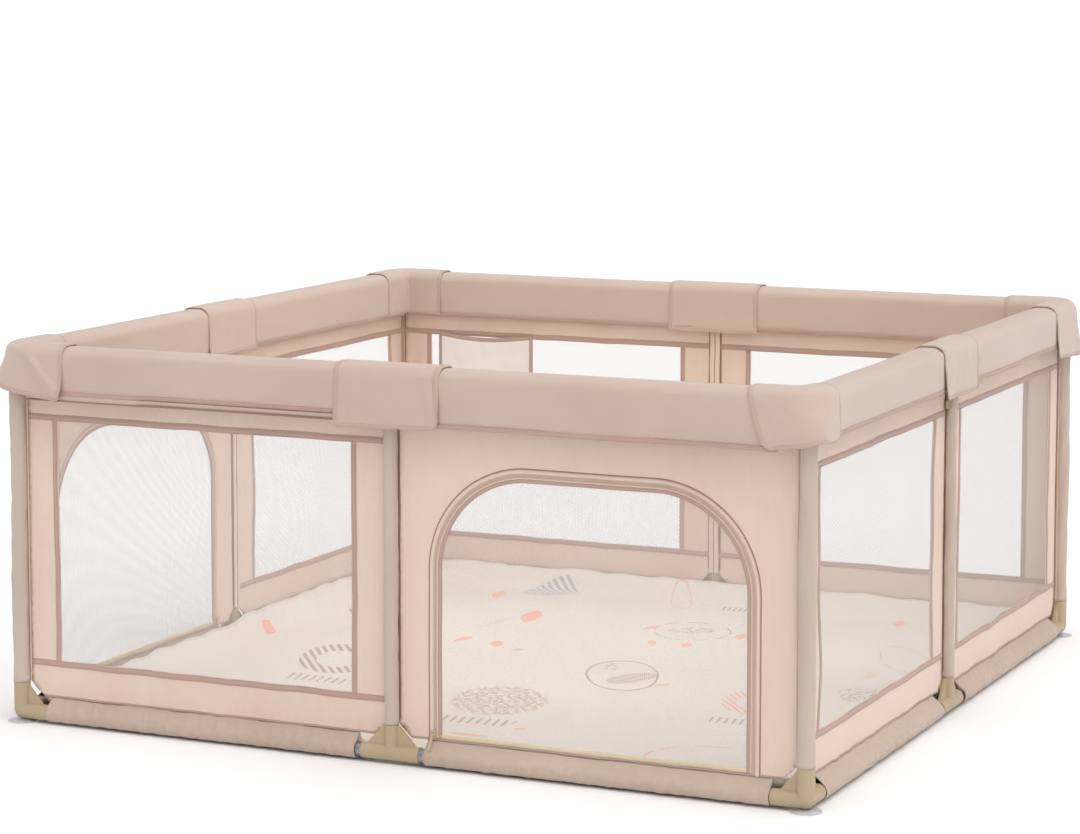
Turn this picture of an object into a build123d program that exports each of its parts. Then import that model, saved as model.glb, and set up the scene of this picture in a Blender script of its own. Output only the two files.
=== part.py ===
"""Square fabric playpen on a knock-down steel tube frame.

The origin is on the floor at the middle of the footprint, +X runs along the front, +Y to the back, +Z up.
Each side is drawn in its own frame: u runs along the side as seen from outside, n points outwards from the
line through the post axes, and z is the height.
"""
import os
from math import atan, cos, degrees, radians, sin, sqrt

from build123d import *

os.makedirs("parts", exist_ok=True)

# ------------------------------------------------------------ driving dimensions, in mm
SIDE = 1500.0  # between the axes of neighbouring corner posts
HALF = SIDE / 2
PAD_TOP = 688.0  # height of the padded rails

RAIL_R = 12.5
CORNER_POST_R = 12.5
MID_POST_R = 10.0
TUBE_WALL = 1.0
RAIL_Z = 19.0  # axis of the bottom rails
TOP_RAIL_Z = 663.0

SOCKET_WALL = 1.5
SOCKET_PLAY = 0.1  # radial play of a tube in its socket
CONNECTOR_R = RAIL_R + SOCKET_WALL
CORNER_ARM = 58.0  # from the post axis to the mouth of a bottom corner arm
TEE_ARM = 55.0
TOP_ARM = 45.0
TUBE_STOP = 15.0  # tubes end this far from the axis they meet
POST_FOOT_Z = 35.0
SOCKET_TOP_Z = 72.0
GUSSET_T = 6.0
GUSSET_RISE = 34.0

FABRIC_T = 2.4
PANEL_N = -8.0  # middle of the side fabric, inwards from the post line
PANEL_LOW = 47.0
PANEL_TOP = 648.0
CORNER_PANEL_END = 13.0  # fabric edge to corner post axis
MID_PANEL_END = 9.8
PANEL_CUT = 34.0  # lower corners are cut off over the gussets
SOCKET_RELIEF = 5.0  # upper corners step back round the top sockets
WINDOW_LOW = 115.0
WINDOW_TOP = 549.0
WINDOW_MARGIN = 80.0  # from a post axis to the window
WINDOW_CORNER_R = 3.0
MESH_T = 1.0

SLEEVE_T = 1.2
SLEEVE_PLAY = 0.3
POST_SLEEVE_LOW = 75.0
POST_SLEEVE_TOP = 610.0
SEAM_Z = 46.5  # where a rail sleeve meets the side fabric
SLEEVE_CORNER_END = 59.0
SLEEVE_MID_END = 66.0

PAD_HALF = 30.0
PAD_RADIUS = 20.0
PAD_LOW = 598.0
CHANNEL_HALF = 17.0
CHANNEL_TOP = 677.5
CHANNEL_RADIUS = 8.0
PAD_CORNER_END = 32.0
PAD_MID_END = 6.0

WRAP_T = 2.5
WRAP_PLAY = 0.5
WRAP_LOW_OUT = 580.0
WRAP_LOW_IN = 584.0

DOOR_NEAR = 67.0  # outer seam of the arch, from the middle post axis
DOOR_FAR = 669.0
DOOR_TOP = 525.0
DOOR_RADIUS = 185.0
ZIP_INSET = 12.5  # from the outer seam to the zip gap
ZIP_GAP = 2.2
FLAP_T = 2.0
FLAP_LOW = 48.2

SLIDER_Z = 50.0
SLIDER_H = 14.0
SLIDER_W = 10.0
SLIDER_PLATE = 2.2
SLIDER_PLAY = 0.3
PIN_R = 0.9
PULL_EYE_R = 2.4
PULL_W = 4.0
PULL_L = 27.0
PULL_T = 1.6
PULL_TILT = 32.0  # the pull leans out over the rail sleeve, in degrees from hanging

MAT_HALF = 734.0
MAT_T = 12.0
MAT_RIM_Z = 46.0
MAT_RIM_W = 40.0
MAT_LIP = 6.0
MAT_CORNER_R = 50.0

POCKET_NEAR = 425.0  # u of the two side bindings, on the back wall
POCKET_FAR = 650.0
POCKET_LOW = 330.0
POCKET_TOP = 556.0
POCKET_DEPTH = 16.0
POCKET_WALL = 1.5
POCKET_GAP = 0.4

CUP_R = 27.5
CUP_TOP = 4.4
STUD_R = 2.8
STUD_TOP = 11.0
STUD_PLAY = 0.3

ALONG = {"front": (1, 0, 0), "right": (0, 1, 0), "back": (-1, 0, 0), "left": (0, -1, 0)}
OUTWARD = {"front": (0, -1, 0), "right": (1, 0, 0), "back": (0, 1, 0), "left": (-1, 0, 0)}
SIDES = list(ALONG)
# a corner is where one side ends and the next one, going anticlockwise from above, begins
CORNERS = {
    "front_left": ("left", "front"),
    "front_right": ("front", "right"),
    "back_right": ("right", "back"),
    "back_left": ("back", "left"),
}
# panels: the half of the side that they fill, -1 where u is negative
WINDOWS = {
    "front_left": ("front", -1),
    "right_front": ("right", -1),
    "right_back": ("right", 1),
    "back_right": ("back", -1),
    "back_left": ("back", 1),
    "left_back": ("left", -1),
}
DOORS = {"front": ("front", 1), "left": ("left", 1)}
# how far each corner wrap reaches along the side that ends there and the side that begins there
CORNER_WRAPS = {
    "front_left": (116.0, 115.0),
    "front_right": (95.0, 54.0),
    "back_right": (165.0, 114.0),
    "back_left": (112.0, 120.0),
}
# the two ends of each middle wrap along its side
MID_WRAPS = {"front": (-92.0, 106.0), "right": (-136.0, 54.0), "back": (-102.0, 97.0), "left": (-52.0, 132.0)}


# ------------------------------------------------------------ frames and outlines
def point(side, u, n, z):
    """A place given along a side, outwards from the post line, and upwards."""
    return Vector(*ALONG[side]) * u + Vector(*OUTWARD[side]) * (HALF + n) + Vector(0, 0, z)


def face_plane(side, n):
    """Parallel to a side: x is u, y is the height, and the normal points outwards."""
    return Plane(origin=point(side, 0, n, 0), x_dir=ALONG[side], z_dir=OUTWARD[side])


def cross_plane(side, u):
    """Across a side at u: x points inwards from the post line, y is the height."""
    inwards = Vector(*OUTWARD[side]) * -1
    return Plane(origin=point(side, u, 0, 0), x_dir=inwards, z_dir=ALONG[side])


def post_plane(side, u, z):
    """Level plane on a post axis."""
    return Plane(origin=point(side, u, 0, z), x_dir=ALONG[side], z_dir=(0, 0, 1))


def corner_ends(corner):
    """The two arms at a corner: side, the corner's u on it, and the way the side leaves the corner."""
    ending, beginning = CORNERS[corner]
    return [(ending, HALF, -1), (beginning, -HALF, 1)]


def rod(side, u, reach, z, radius, bore=0.0):
    """A round bar or tube along a side, from u to u + reach."""
    with BuildSketch(cross_plane(side, u)) as ring:
        with Locations((0, z)):
            Circle(radius)
            if bore > 0:
                Circle(bore, mode=Mode.SUBTRACT)
    extrude(ring.sketch, amount=reach)


def save(piece, name):
    """Labels a finished piece and writes it."""
    piece.part.label = name
    export_step(piece.part, f"parts/{name}.step")


# ------------------------------------------------------------ steel tubes
def rail_pair(side, z):
    """The two tubes of one side, between the corner connectors and the middle tee."""
    length = HALF - 2 * TUBE_STOP
    for start in (-HALF + TUBE_STOP, TUBE_STOP):
        rod(side, start, length, z, RAIL_R, RAIL_R - TUBE_WALL)


def make_rails():
    for side in SIDES:
        with BuildPart() as rails:
            rail_pair(side, RAIL_Z)
        save(rails, f"bottom_rails_{side}")
    with BuildPart() as top_rails:
        for side in SIDES:
            rail_pair(side, TOP_RAIL_Z)
    save(top_rails, "top_rails")


def make_post(side, u, radius, name):
    with BuildPart() as post:
        with BuildSketch(post_plane(side, u, POST_FOOT_Z)):
            Circle(radius)
            Circle(radius - TUBE_WALL, mode=Mode.SUBTRACT)
        extrude(amount=TOP_RAIL_Z - TUBE_STOP - POST_FOOT_Z)
    save(post, name)


def make_posts():
    for corner, (side, _) in CORNERS.items():
        make_post(side, HALF, CORNER_POST_R, f"corner_post_{corner}")
    for side in SIDES:
        make_post(side, 0, MID_POST_R, f"mid_post_{side}")


# ------------------------------------------------------------ plastic connectors
def post_socket(side, u, post_radius, low, high):
    """The upright cup that a post stands in."""
    with BuildSketch(post_plane(side, u, low)) as disc:
        Circle(post_radius + SOCKET_WALL + 1)
    extrude(disc.sketch, amount=high - low)


def post_bore(side, u, post_radius, low, high):
    with BuildSketch(post_plane(side, u, low)) as disc:
        Circle(post_radius + SOCKET_PLAY)
    extrude(disc.sketch, amount=high - low, mode=Mode.SUBTRACT)


def rail_bore(side, u, way, arm, z):
    """The bore of an arm, from its mouth to the stop that the rail meets."""
    with BuildSketch(cross_plane(side, u + way * TUBE_STOP)) as disc:
        with Locations((0, z)):
            Circle(RAIL_R + SOCKET_PLAY)
    extrude(disc.sketch, amount=way * (arm - TUBE_STOP), mode=Mode.SUBTRACT)


def gusset(side, u, way, reach, z_arm, rise):
    """Triangular web between an arm and the post socket."""
    peak = z_arm + CONNECTOR_R + rise
    with BuildSketch(face_plane(side, -GUSSET_T / 2)) as web:
        with BuildLine():
            Polyline(
                (u, z_arm),
                (u + way * reach, z_arm),
                (u + way * reach, z_arm + 0.95 * CONNECTOR_R),
                (u + way * CONNECTOR_R, peak),
                (u, peak),
                close=True,
            )
        make_face()
    extrude(web.sketch, amount=GUSSET_T)


def make_bottom_corner(corner):
    side = CORNERS[corner][0]
    with BuildPart() as connector:
        for arm_side, u, way in corner_ends(corner):
            rod(arm_side, u, way * CORNER_ARM, RAIL_Z, CONNECTOR_R)
            gusset(arm_side, u, way, CORNER_ARM - 14, RAIL_Z, GUSSET_RISE)
        with Locations(point(side, HALF, 0, RAIL_Z)):
            Sphere(CONNECTOR_R)
        post_socket(side, HALF, CORNER_POST_R, RAIL_Z, SOCKET_TOP_Z)
        for arm_side, u, way in corner_ends(corner):
            rail_bore(arm_side, u, way, CORNER_ARM, RAIL_Z)
        post_bore(side, HALF, CORNER_POST_R, POST_FOOT_Z, SOCKET_TOP_Z)
        with BuildSketch(post_plane(side, HALF, 0)):
            Circle(STUD_R + STUD_PLAY)
        extrude(amount=STUD_TOP + 1, mode=Mode.SUBTRACT)
    save(connector, f"bottom_corner_connector_{corner}")


def make_bottom_tee(side):
    with BuildPart() as tee:
        rod(side, -TEE_ARM, 2 * TEE_ARM, RAIL_Z, CONNECTOR_R)
        for way in (-1, 1):
            gusset(side, 0, way, TEE_ARM - 8, RAIL_Z, GUSSET_RISE)
        post_socket(side, 0, MID_POST_R, RAIL_Z, SOCKET_TOP_Z - 4)
        for way in (-1, 1):
            rail_bore(side, 0, way, TEE_ARM, RAIL_Z)
        post_bore(side, 0, MID_POST_R, POST_FOOT_Z, SOCKET_TOP_Z)
    save(tee, f"bottom_tee_connector_{side}")


def make_top_connectors():
    post_end = TOP_RAIL_Z - TUBE_STOP
    with BuildPart() as corners:
        for corner, (side, _) in CORNERS.items():
            for arm_side, u, way in corner_ends(corner):
                rod(arm_side, u, way * TOP_ARM, TOP_RAIL_Z, CONNECTOR_R)
            with Locations(point(side, HALF, 0, TOP_RAIL_Z)):
                Sphere(CONNECTOR_R)
            post_socket(side, HALF, CORNER_POST_R, POST_SLEEVE_TOP + 2, TOP_RAIL_Z)
            for arm_side, u, way in corner_ends(corner):
                rail_bore(arm_side, u, way, TOP_ARM, TOP_RAIL_Z)
            post_bore(side, HALF, CORNER_POST_R, POST_SLEEVE_TOP, post_end)
    save(corners, "top_corner_connectors")
    with BuildPart() as tees:
        for side in SIDES:
            rod(side, -TOP_ARM, 2 * TOP_ARM, TOP_RAIL_Z, CONNECTOR_R)
            post_socket(side, 0, MID_POST_R, POST_SLEEVE_TOP + 2, TOP_RAIL_Z)
            for way in (-1, 1):
                rail_bore(side, 0, way, TOP_ARM, TOP_RAIL_Z)
            post_bore(side, 0, MID_POST_R, POST_SLEEVE_TOP, post_end)
    save(tees, "top_tee_connectors")


# ------------------------------------------------------------ side fabric
def panel_outline(half):
    """One panel between a corner post and the middle post, clear of the gussets and the top sockets."""
    corner_u = HALF - CORNER_PANEL_END
    relief_z = POST_SLEEVE_TOP - SOCKET_RELIEF
    with BuildLine() as outline:
        Polyline(
            (half * MID_PANEL_END, PANEL_LOW + PANEL_CUT),
            (half * (MID_PANEL_END + PANEL_CUT), PANEL_LOW),
            (half * (corner_u - PANEL_CUT), PANEL_LOW),
            (half * corner_u, PANEL_LOW + PANEL_CUT),
            (half * corner_u, relief_z),
            (half * (corner_u - SOCKET_RELIEF), relief_z + SOCKET_RELIEF),
            (half * (corner_u - SOCKET_RELIEF), PANEL_TOP),
            (half * (MID_PANEL_END + SOCKET_RELIEF), PANEL_TOP),
            (half * (MID_PANEL_END + SOCKET_RELIEF), relief_z + SOCKET_RELIEF),
            (half * MID_PANEL_END, relief_z),
            close=True,
        )
    make_face(outline.line)


def window_outline(half, shape_mode=Mode.ADD):
    width = HALF - 2 * WINDOW_MARGIN
    height = WINDOW_TOP - WINDOW_LOW
    with Locations((half * HALF / 2, WINDOW_LOW + height / 2)):
        RectangleRounded(width, height, WINDOW_CORNER_R, mode=shape_mode)


def arch_outline(half, inset, foot, shape_mode=Mode.ADD):
    """Straight legs, two round shoulders and a flat top, inset from the outer seam of the door."""
    near = DOOR_NEAR + inset
    far = DOOR_FAR - inset
    top = DOOR_TOP - inset
    radius = DOOR_RADIUS - inset
    bulge = radius * (1 - sqrt(0.5))
    with BuildLine() as outline:
        Line((half * far, foot), (half * near, foot))
        Line((half * near, foot), (half * near, top - radius))
        ThreePointArc(
            (half * near, top - radius),
            (half * (near + bulge), top - bulge),
            (half * (near + radius), top),
        )
        Line((half * (near + radius), top), (half * (far - radius), top))
        ThreePointArc(
            (half * (far - radius), top),
            (half * (far - bulge), top - bulge),
            (half * far, top - radius),
        )
        Line((half * far, top - radius), (half * far, foot))
    make_face(outline.line, mode=shape_mode)


def make_window_panels():
    for name, (side, half) in WINDOWS.items():
        with BuildPart() as panel:
            with BuildSketch(face_plane(side, PANEL_N - FABRIC_T / 2)):
                panel_outline(half)
                window_outline(half, Mode.SUBTRACT)
            extrude(amount=FABRIC_T)
        save(panel, f"window_panel_{name}")
    with BuildPart() as mesh:
        for side, half in WINDOWS.values():
            with BuildSketch(face_plane(side, PANEL_N - MESH_T / 2)):
                window_outline(half)
            extrude(amount=MESH_T)
    save(mesh, "window_mesh")


def make_doors():
    for name, (side, half) in DOORS.items():
        with BuildPart() as surround:
            with BuildSketch(face_plane(side, PANEL_N - FABRIC_T / 2)):
                panel_outline(half)
                arch_outline(half, ZIP_INSET, PANEL_LOW - 1, Mode.SUBTRACT)
            extrude(amount=FABRIC_T)
        save(surround, f"door_panel_{name}")
        with BuildPart() as flap:
            with BuildSketch(face_plane(side, PANEL_N - FLAP_T / 2)):
                arch_outline(half, ZIP_INSET + ZIP_GAP, FLAP_LOW)
            extrude(amount=FLAP_T)
        save(flap, f"door_flap_{name}")


# ------------------------------------------------------------ zip sliders and pulls
SLIDER_EDGE = DOOR_NEAR + ZIP_INSET + ZIP_GAP - SLIDER_PLAY
PANEL_FRONT = PANEL_N + FABRIC_T / 2
SLIDER_FRONT = PANEL_FRONT + SLIDER_PLAY + SLIDER_PLATE
PIN_N = SLIDER_FRONT + PULL_EYE_R + 0.4
PIN_Z = SLIDER_Z + SLIDER_H / 2
PULL_U = SLIDER_EDGE - SLIDER_W / 2


def box_on_side(side, low, high):
    """A block between two (u, n, z) corners on a side."""
    with BuildSketch(face_plane(side, low[1])) as section:
        with Locations(((low[0] + high[0]) / 2, (low[2] + high[2]) / 2)):
            Rectangle(high[0] - low[0], high[2] - low[2])
    extrude(section.sketch, amount=high[1] - low[1])


def make_slider(name, side):
    """Clips over the edge of the zip tape, with a cross pin in two lugs for the pull."""
    low, high = SLIDER_Z, SLIDER_Z + SLIDER_H
    back = PANEL_N - FABRIC_T / 2 - SLIDER_PLAY
    left = SLIDER_EDGE - SLIDER_W
    lug = 1.4
    lug_gap = PULL_W + 2 * SLIDER_PLAY
    web = ZIP_GAP - 2 * SLIDER_PLAY
    with BuildPart() as slider:
        box_on_side(side, (left, PANEL_FRONT + SLIDER_PLAY, low), (SLIDER_EDGE, SLIDER_FRONT, high))
        box_on_side(side, (left, back - SLIDER_PLATE, low), (SLIDER_EDGE, back, high))
        box_on_side(side, (SLIDER_EDGE - web, back - 1, low), (SLIDER_EDGE, SLIDER_FRONT - 1, high))
        for way in (-1, 1):
            inner = PULL_U + way * lug_gap / 2
            outer = inner + way * lug
            near, far = min(inner, outer), max(inner, outer)
            box_on_side(side, (near, SLIDER_FRONT - 0.5, PIN_Z - 2), (far, PIN_N + PIN_R + 0.6, PIN_Z + 2))
        with BuildSketch(cross_plane(side, PULL_U - lug_gap / 2 - lug / 2)):
            with Locations((-PIN_N, PIN_Z)):
                Circle(PIN_R)
        extrude(amount=lug_gap + lug)
    save(slider, f"zip_slider_{name}")


def make_pull(name, side):
    """Flat tab with an eye, leaning out over the rail sleeve."""
    tilt = radians(PULL_TILT)
    start, end = PULL_EYE_R * 0.6, PULL_L
    across = PULL_T / 2
    corners = []
    for reach, offset in ((start, -across), (end, -across), (end, across), (start, across)):
        outward = PIN_N + reach * sin(tilt) + offset * cos(tilt)
        height = PIN_Z - reach * cos(tilt) + offset * sin(tilt)
        corners.append((-outward, height))
    with BuildPart() as pull:
        with BuildSketch(cross_plane(side, PULL_U - PULL_W / 2)):
            with Locations((-PIN_N, PIN_Z)):
                Circle(PULL_EYE_R)
            with BuildLine():
                Polyline(*corners, close=True)
            make_face()
            with Locations((-PIN_N, PIN_Z)):
                Circle(PIN_R + SLIDER_PLAY, mode=Mode.SUBTRACT)
        extrude(amount=PULL_W)
    save(pull, f"zip_pull_{name}")


# ------------------------------------------------------------ sleeves on tubes
def teardrop(radius, apex_x, apex_z):
    """A circle round the rail with two tangents that meet at the seam."""
    rise = apex_z - RAIL_Z
    distance = sqrt(apex_x**2 + rise**2)
    inward = (radius / distance) ** 2
    across = radius * sqrt(1 - inward) / distance
    touches = [
        (inward * apex_x + way * across * rise, RAIL_Z + inward * rise - way * across * apex_x) for way in (-1, 1)
    ]
    with Locations((0, RAIL_Z)):
        Circle(radius)
    with BuildLine() as outline:
        Polyline((0, RAIL_Z), touches[0], (apex_x, apex_z), touches[1], close=True)
    make_face(outline.line)


def make_rail_sleeves():
    inner = RAIL_R + SLEEVE_PLAY
    with BuildPart() as sleeves:
        for side in SIDES:
            for half in (-1, 1):
                ends = sorted((half * SLEEVE_MID_END, half * (HALF - SLEEVE_CORNER_END)))
                with BuildSketch(cross_plane(side, ends[0])):
                    teardrop(inner + SLEEVE_T, -PANEL_N, SEAM_Z)
                    with Locations((0, RAIL_Z)):
                        Circle(inner, mode=Mode.SUBTRACT)
                extrude(amount=ends[1] - ends[0])
    save(sleeves, "bottom_rail_sleeves")


def make_post_sleeves():
    posts = [(side, HALF, CORNER_POST_R) for side in SIDES] + [(side, 0, MID_POST_R) for side in SIDES]
    with BuildPart() as sleeves:
        for side, u, radius in posts:
            with BuildSketch(post_plane(side, u, POST_SLEEVE_LOW)):
                Circle(radius + SLEEVE_PLAY + SLEEVE_T)
                Circle(radius + SLEEVE_PLAY, mode=Mode.SUBTRACT)
            extrude(amount=POST_SLEEVE_TOP - POST_SLEEVE_LOW)
    save(sleeves, "post_sleeves")


# ------------------------------------------------------------ padded rails and their wraps
def saddle_outline(half_width, top, radius, low_out, low_in, shape_mode=Mode.ADD):
    """A hood over the rail: flat top, round shoulders, straight skirts. Outside is at negative x."""
    bulge = radius * (1 - sqrt(0.5))
    with BuildLine() as outline:
        Line((-half_width, low_out), (-half_width, top - radius))
        ThreePointArc(
            (-half_width, top - radius),
            (-half_width + bulge, top - bulge),
            (-half_width + radius, top),
        )
        Line((-half_width + radius, top), (half_width - radius, top))
        ThreePointArc(
            (half_width - radius, top),
            (half_width - bulge, top - bulge),
            (half_width, top - radius),
        )
        Line((half_width, top - radius), (half_width, low_in))
        Line((half_width, low_in), (-half_width, low_out))
    make_face(outline.line, mode=shape_mode)


def make_pads():
    for side in SIDES:
        with BuildPart() as pad:
            for half in (-1, 1):
                ends = sorted((half * PAD_MID_END, half * (HALF - PAD_CORNER_END)))
                with BuildSketch(cross_plane(side, ends[0])):
                    saddle_outline(PAD_HALF, PAD_TOP, PAD_RADIUS, PAD_LOW, PAD_LOW)
                    saddle_outline(
                        CHANNEL_HALF, CHANNEL_TOP, CHANNEL_RADIUS, PAD_LOW - 1, PAD_LOW - 1, Mode.SUBTRACT
                    )
                extrude(amount=ends[1] - ends[0])
        save(pad, f"top_pad_{side}")


def wrap_skin(side, u, reach, thickness, shape_mode=Mode.ADD, overshoot=0.0):
    """One straight run of a wrap, solid, from u to u + reach."""
    gap = WRAP_PLAY + thickness
    with BuildSketch(cross_plane(side, u)) as section:
        saddle_outline(
            PAD_HALF + gap,
            PAD_TOP + gap,
            PAD_RADIUS + gap,
            WRAP_LOW_OUT - overshoot,
            WRAP_LOW_IN - overshoot,
        )
    extrude(section.sketch, amount=reach, mode=shape_mode)


def make_mid_wraps():
    for side, (low, high) in MID_WRAPS.items():
        with BuildPart() as wrap:
            wrap_skin(side, low, high - low, WRAP_T)
            wrap_skin(side, low, high - low, 0.0, Mode.SUBTRACT, overshoot=4)
        save(wrap, f"mid_wrap_{side}")


def make_corner_wraps():
    for corner, reaches in CORNER_WRAPS.items():
        inner, outer = PAD_HALF + WRAP_PLAY, PAD_HALF + WRAP_PLAY + WRAP_T
        with BuildPart() as wrap:
            for (side, u, way), reach in zip(corner_ends(corner), reaches):
                wrap_skin(side, u - way * outer, way * (outer + reach), WRAP_T)
            for (side, u, way), reach in zip(corner_ends(corner), reaches):
                wrap_skin(side, u - way * inner, way * (inner + reach), 0.0, Mode.SUBTRACT, overshoot=4)
        save(wrap, f"corner_wrap_{corner}")


# ------------------------------------------------------------ mat, pocket and feet
def make_mat():
    """A padded sheet whose border rides up against the rail sleeves."""
    floor_half = MAT_HALF - MAT_RIM_W
    rise = MAT_RIM_Z - MAT_T
    spread = MAT_RIM_W - MAT_LIP
    with BuildPart() as mat:
        with BuildSketch(Plane.XY):
            RectangleRounded(2 * MAT_HALF, 2 * MAT_HALF, MAT_CORNER_R)
        extrude(amount=MAT_RIM_Z)
        with BuildSketch(Plane.XY.offset(MAT_T)):
            RectangleRounded(2 * floor_half, 2 * floor_half, MAT_CORNER_R - MAT_RIM_W)
        extrude(amount=rise, taper=-degrees(atan(spread / rise)), mode=Mode.SUBTRACT)
    save(mat, "floor_mat")


def make_pocket():
    """Flat pouch on the inside of the back wall, open at the top."""
    outer_n = PANEL_N - FABRIC_T / 2 - POCKET_GAP
    inner_n = outer_n - POCKET_DEPTH
    with BuildPart() as pocket:
        box_on_side("back", (POCKET_NEAR, inner_n, POCKET_LOW), (POCKET_FAR, outer_n, POCKET_TOP))
        with BuildSketch(face_plane("back", inner_n + POCKET_WALL)):
            low, high = POCKET_LOW + POCKET_WALL, POCKET_TOP + 1
            with Locations(((POCKET_NEAR + POCKET_FAR) / 2, (low + high) / 2)):
                Rectangle(POCKET_FAR - POCKET_NEAR - 2 * POCKET_WALL, high - low)
        extrude(amount=POCKET_DEPTH - 2 * POCKET_WALL, mode=Mode.SUBTRACT)
    save(pocket, "storage_pocket")


def make_cup(corner):
    """Suction cup with a stud that turns in the corner connector."""
    side = CORNERS[corner][0]
    profile = [
        (0, 2.2),
        (CUP_R * 0.55, 1.6),
        (CUP_R - 2.5, 0),
        (CUP_R, 0),
        (CUP_R, 1.2),
        (CUP_R * 0.45, CUP_TOP),
        (STUD_R, CUP_TOP),
        (STUD_R, STUD_TOP),
        (0, STUD_TOP),
    ]
    with BuildPart() as cup:
        with BuildSketch(cross_plane(side, HALF)):
            with BuildLine():
                Polyline(*profile, close=True)
            make_face()
        revolve(axis=Axis(point(side, HALF, 0, 0), (0, 0, 1)))
    save(cup, f"suction_cup_{corner}")


# ------------------------------------------------------------ the whole playpen
make_rails()
make_posts()
for corner_name in CORNERS:
    make_bottom_corner(corner_name)
    make_cup(corner_name)
for side_name in SIDES:
    make_bottom_tee(side_name)
make_top_connectors()
make_window_panels()
make_doors()
for door_name, (door_side, _) in DOORS.items():
    make_slider(door_name, door_side)
    make_pull(door_name, door_side)
make_rail_sleeves()
make_post_sleeves()
make_pads()
make_mid_wraps()
make_corner_wraps()
make_mat()
make_pocket()
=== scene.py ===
"""Looks of the fabric playpen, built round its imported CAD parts.

Lengths are metres in the CAD frame. Each side has its own frame: u runs along it as seen from outside,
n points outwards from the line through the post axes, and z is the height.
"""
import math

import bpy
import numpy as np
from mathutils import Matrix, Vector
from mathutils.bvhtree import BVHTree
from mathutils.geometry import delaunay_2d_cdt


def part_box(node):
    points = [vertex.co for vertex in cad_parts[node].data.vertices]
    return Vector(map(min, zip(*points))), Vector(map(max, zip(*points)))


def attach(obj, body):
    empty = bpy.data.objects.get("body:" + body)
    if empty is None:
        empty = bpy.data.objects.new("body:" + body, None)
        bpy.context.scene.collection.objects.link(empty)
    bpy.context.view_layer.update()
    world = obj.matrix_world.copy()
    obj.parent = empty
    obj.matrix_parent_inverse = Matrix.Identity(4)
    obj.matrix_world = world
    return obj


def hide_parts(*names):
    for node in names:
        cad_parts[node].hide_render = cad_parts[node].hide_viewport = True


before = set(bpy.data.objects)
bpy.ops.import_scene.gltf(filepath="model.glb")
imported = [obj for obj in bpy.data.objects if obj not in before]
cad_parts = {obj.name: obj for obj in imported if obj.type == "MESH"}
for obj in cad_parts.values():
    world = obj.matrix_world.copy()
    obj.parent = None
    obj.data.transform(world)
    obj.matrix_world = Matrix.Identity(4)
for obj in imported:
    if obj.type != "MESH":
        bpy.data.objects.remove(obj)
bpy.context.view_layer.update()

MM = 0.001
TURN = 2 * math.pi
UP = np.array((0.0, 0.0, 1.0))
ALONG = {"front": (1, 0, 0), "right": (0, 1, 0), "back": (-1, 0, 0), "left": (0, -1, 0)}
OUTWARD = {"front": (0, -1, 0), "right": (1, 0, 0), "back": (0, 1, 0), "left": (-1, 0, 0)}
ALONG = {side: np.array(way, float) for side, way in ALONG.items()}
OUTWARD = {side: np.array(way, float) for side, way in OUTWARD.items()}
SIDES = list(ALONG)
CORNERS = {
    "front_left": ("left", "front"),
    "front_right": ("front", "right"),
    "back_right": ("right", "back"),
    "back_left": ("back", "left"),
}
WINDOWS = {
    "front_left": ("front", -1),
    "right_front": ("right", -1),
    "right_back": ("right", 1),
    "back_right": ("back", -1),
    "back_left": ("back", 1),
    "left_back": ("left", -1),
}
DOORS = {"front": ("front", 1), "left": ("left", 1)}


# ------------------------------------------------------------ places taken from the CAD parts
def span(node, side):
    """The range of a CAD node along a side, outwards from the post line, and upwards."""
    corners = np.array(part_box(node))
    along = np.sort(corners @ ALONG[side])
    outward = np.sort(corners @ OUTWARD[side]) - HALF
    return along, outward, corners[:, 2]


HALF = float(sum(corner.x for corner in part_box("corner_post_front_right"))) / 2
PANEL_U, PANEL_N, PANEL_Z = span("window_panel_right_back", "right")
PANEL_MID = PANEL_N.mean()
WINDOW_Z = span("window_mesh", "front")[2]
WINDOW_MARGIN = 80 * MM
PAD_U, PAD_N, PAD_Z = span("top_pad_front", "front")
PAD_HALF = PAD_N[1]
PAD_MID_END = 6 * MM
PAD_RADIUS = 20 * MM
RAIL_Z = float(sum(corner.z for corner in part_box("bottom_rails_front"))) / 2
RAIL_SLEEVE_R = 14 * MM
RAIL_R = 13 * MM
SLEEVE_MID_END = 66 * MM
SLEEVE_CORNER_END = 59 * MM
POST_SLEEVE_Z = span("post_sleeves", "front")[2]


def place(side, u, n, z):
    """Points given in a side's frame, as an array whose last axis is x, y, z."""
    u, n, z = np.broadcast_arrays(u, n, z)
    return u[..., None] * ALONG[side] + (HALF + n)[..., None] * OUTWARD[side] + z[..., None] * UP


def waves(x, y, seed, size, count=12):
    """Smooth random waves of about unit height; size is their usual length."""
    rng = np.random.default_rng(seed)
    total = np.zeros(np.broadcast(x, y).shape)
    for _ in range(count):
        angle = rng.uniform(0, TURN)
        step = TURN / (size * rng.uniform(0.6, 1.7))
        along = x * math.cos(angle) + y * math.sin(angle)
        total = total + np.sin(step * along + rng.uniform(0, TURN))
    return total / math.sqrt(count / 2)


def ease(x, start, end):
    """0 before start, 1 after end, smooth in between."""
    share = np.clip((x - start) / (end - start), 0, 1)
    return share * share * (3 - 2 * share)


# ------------------------------------------------------------ materials
def srgb(red, green, blue):
    """A screen colour as the shader's linear values."""
    linear = [c / 255 / 12.92 if c < 11 else ((c / 255 + 0.055) / 1.055) ** 2.4 for c in (red, green, blue)]
    return (*linear, 1.0)


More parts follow.
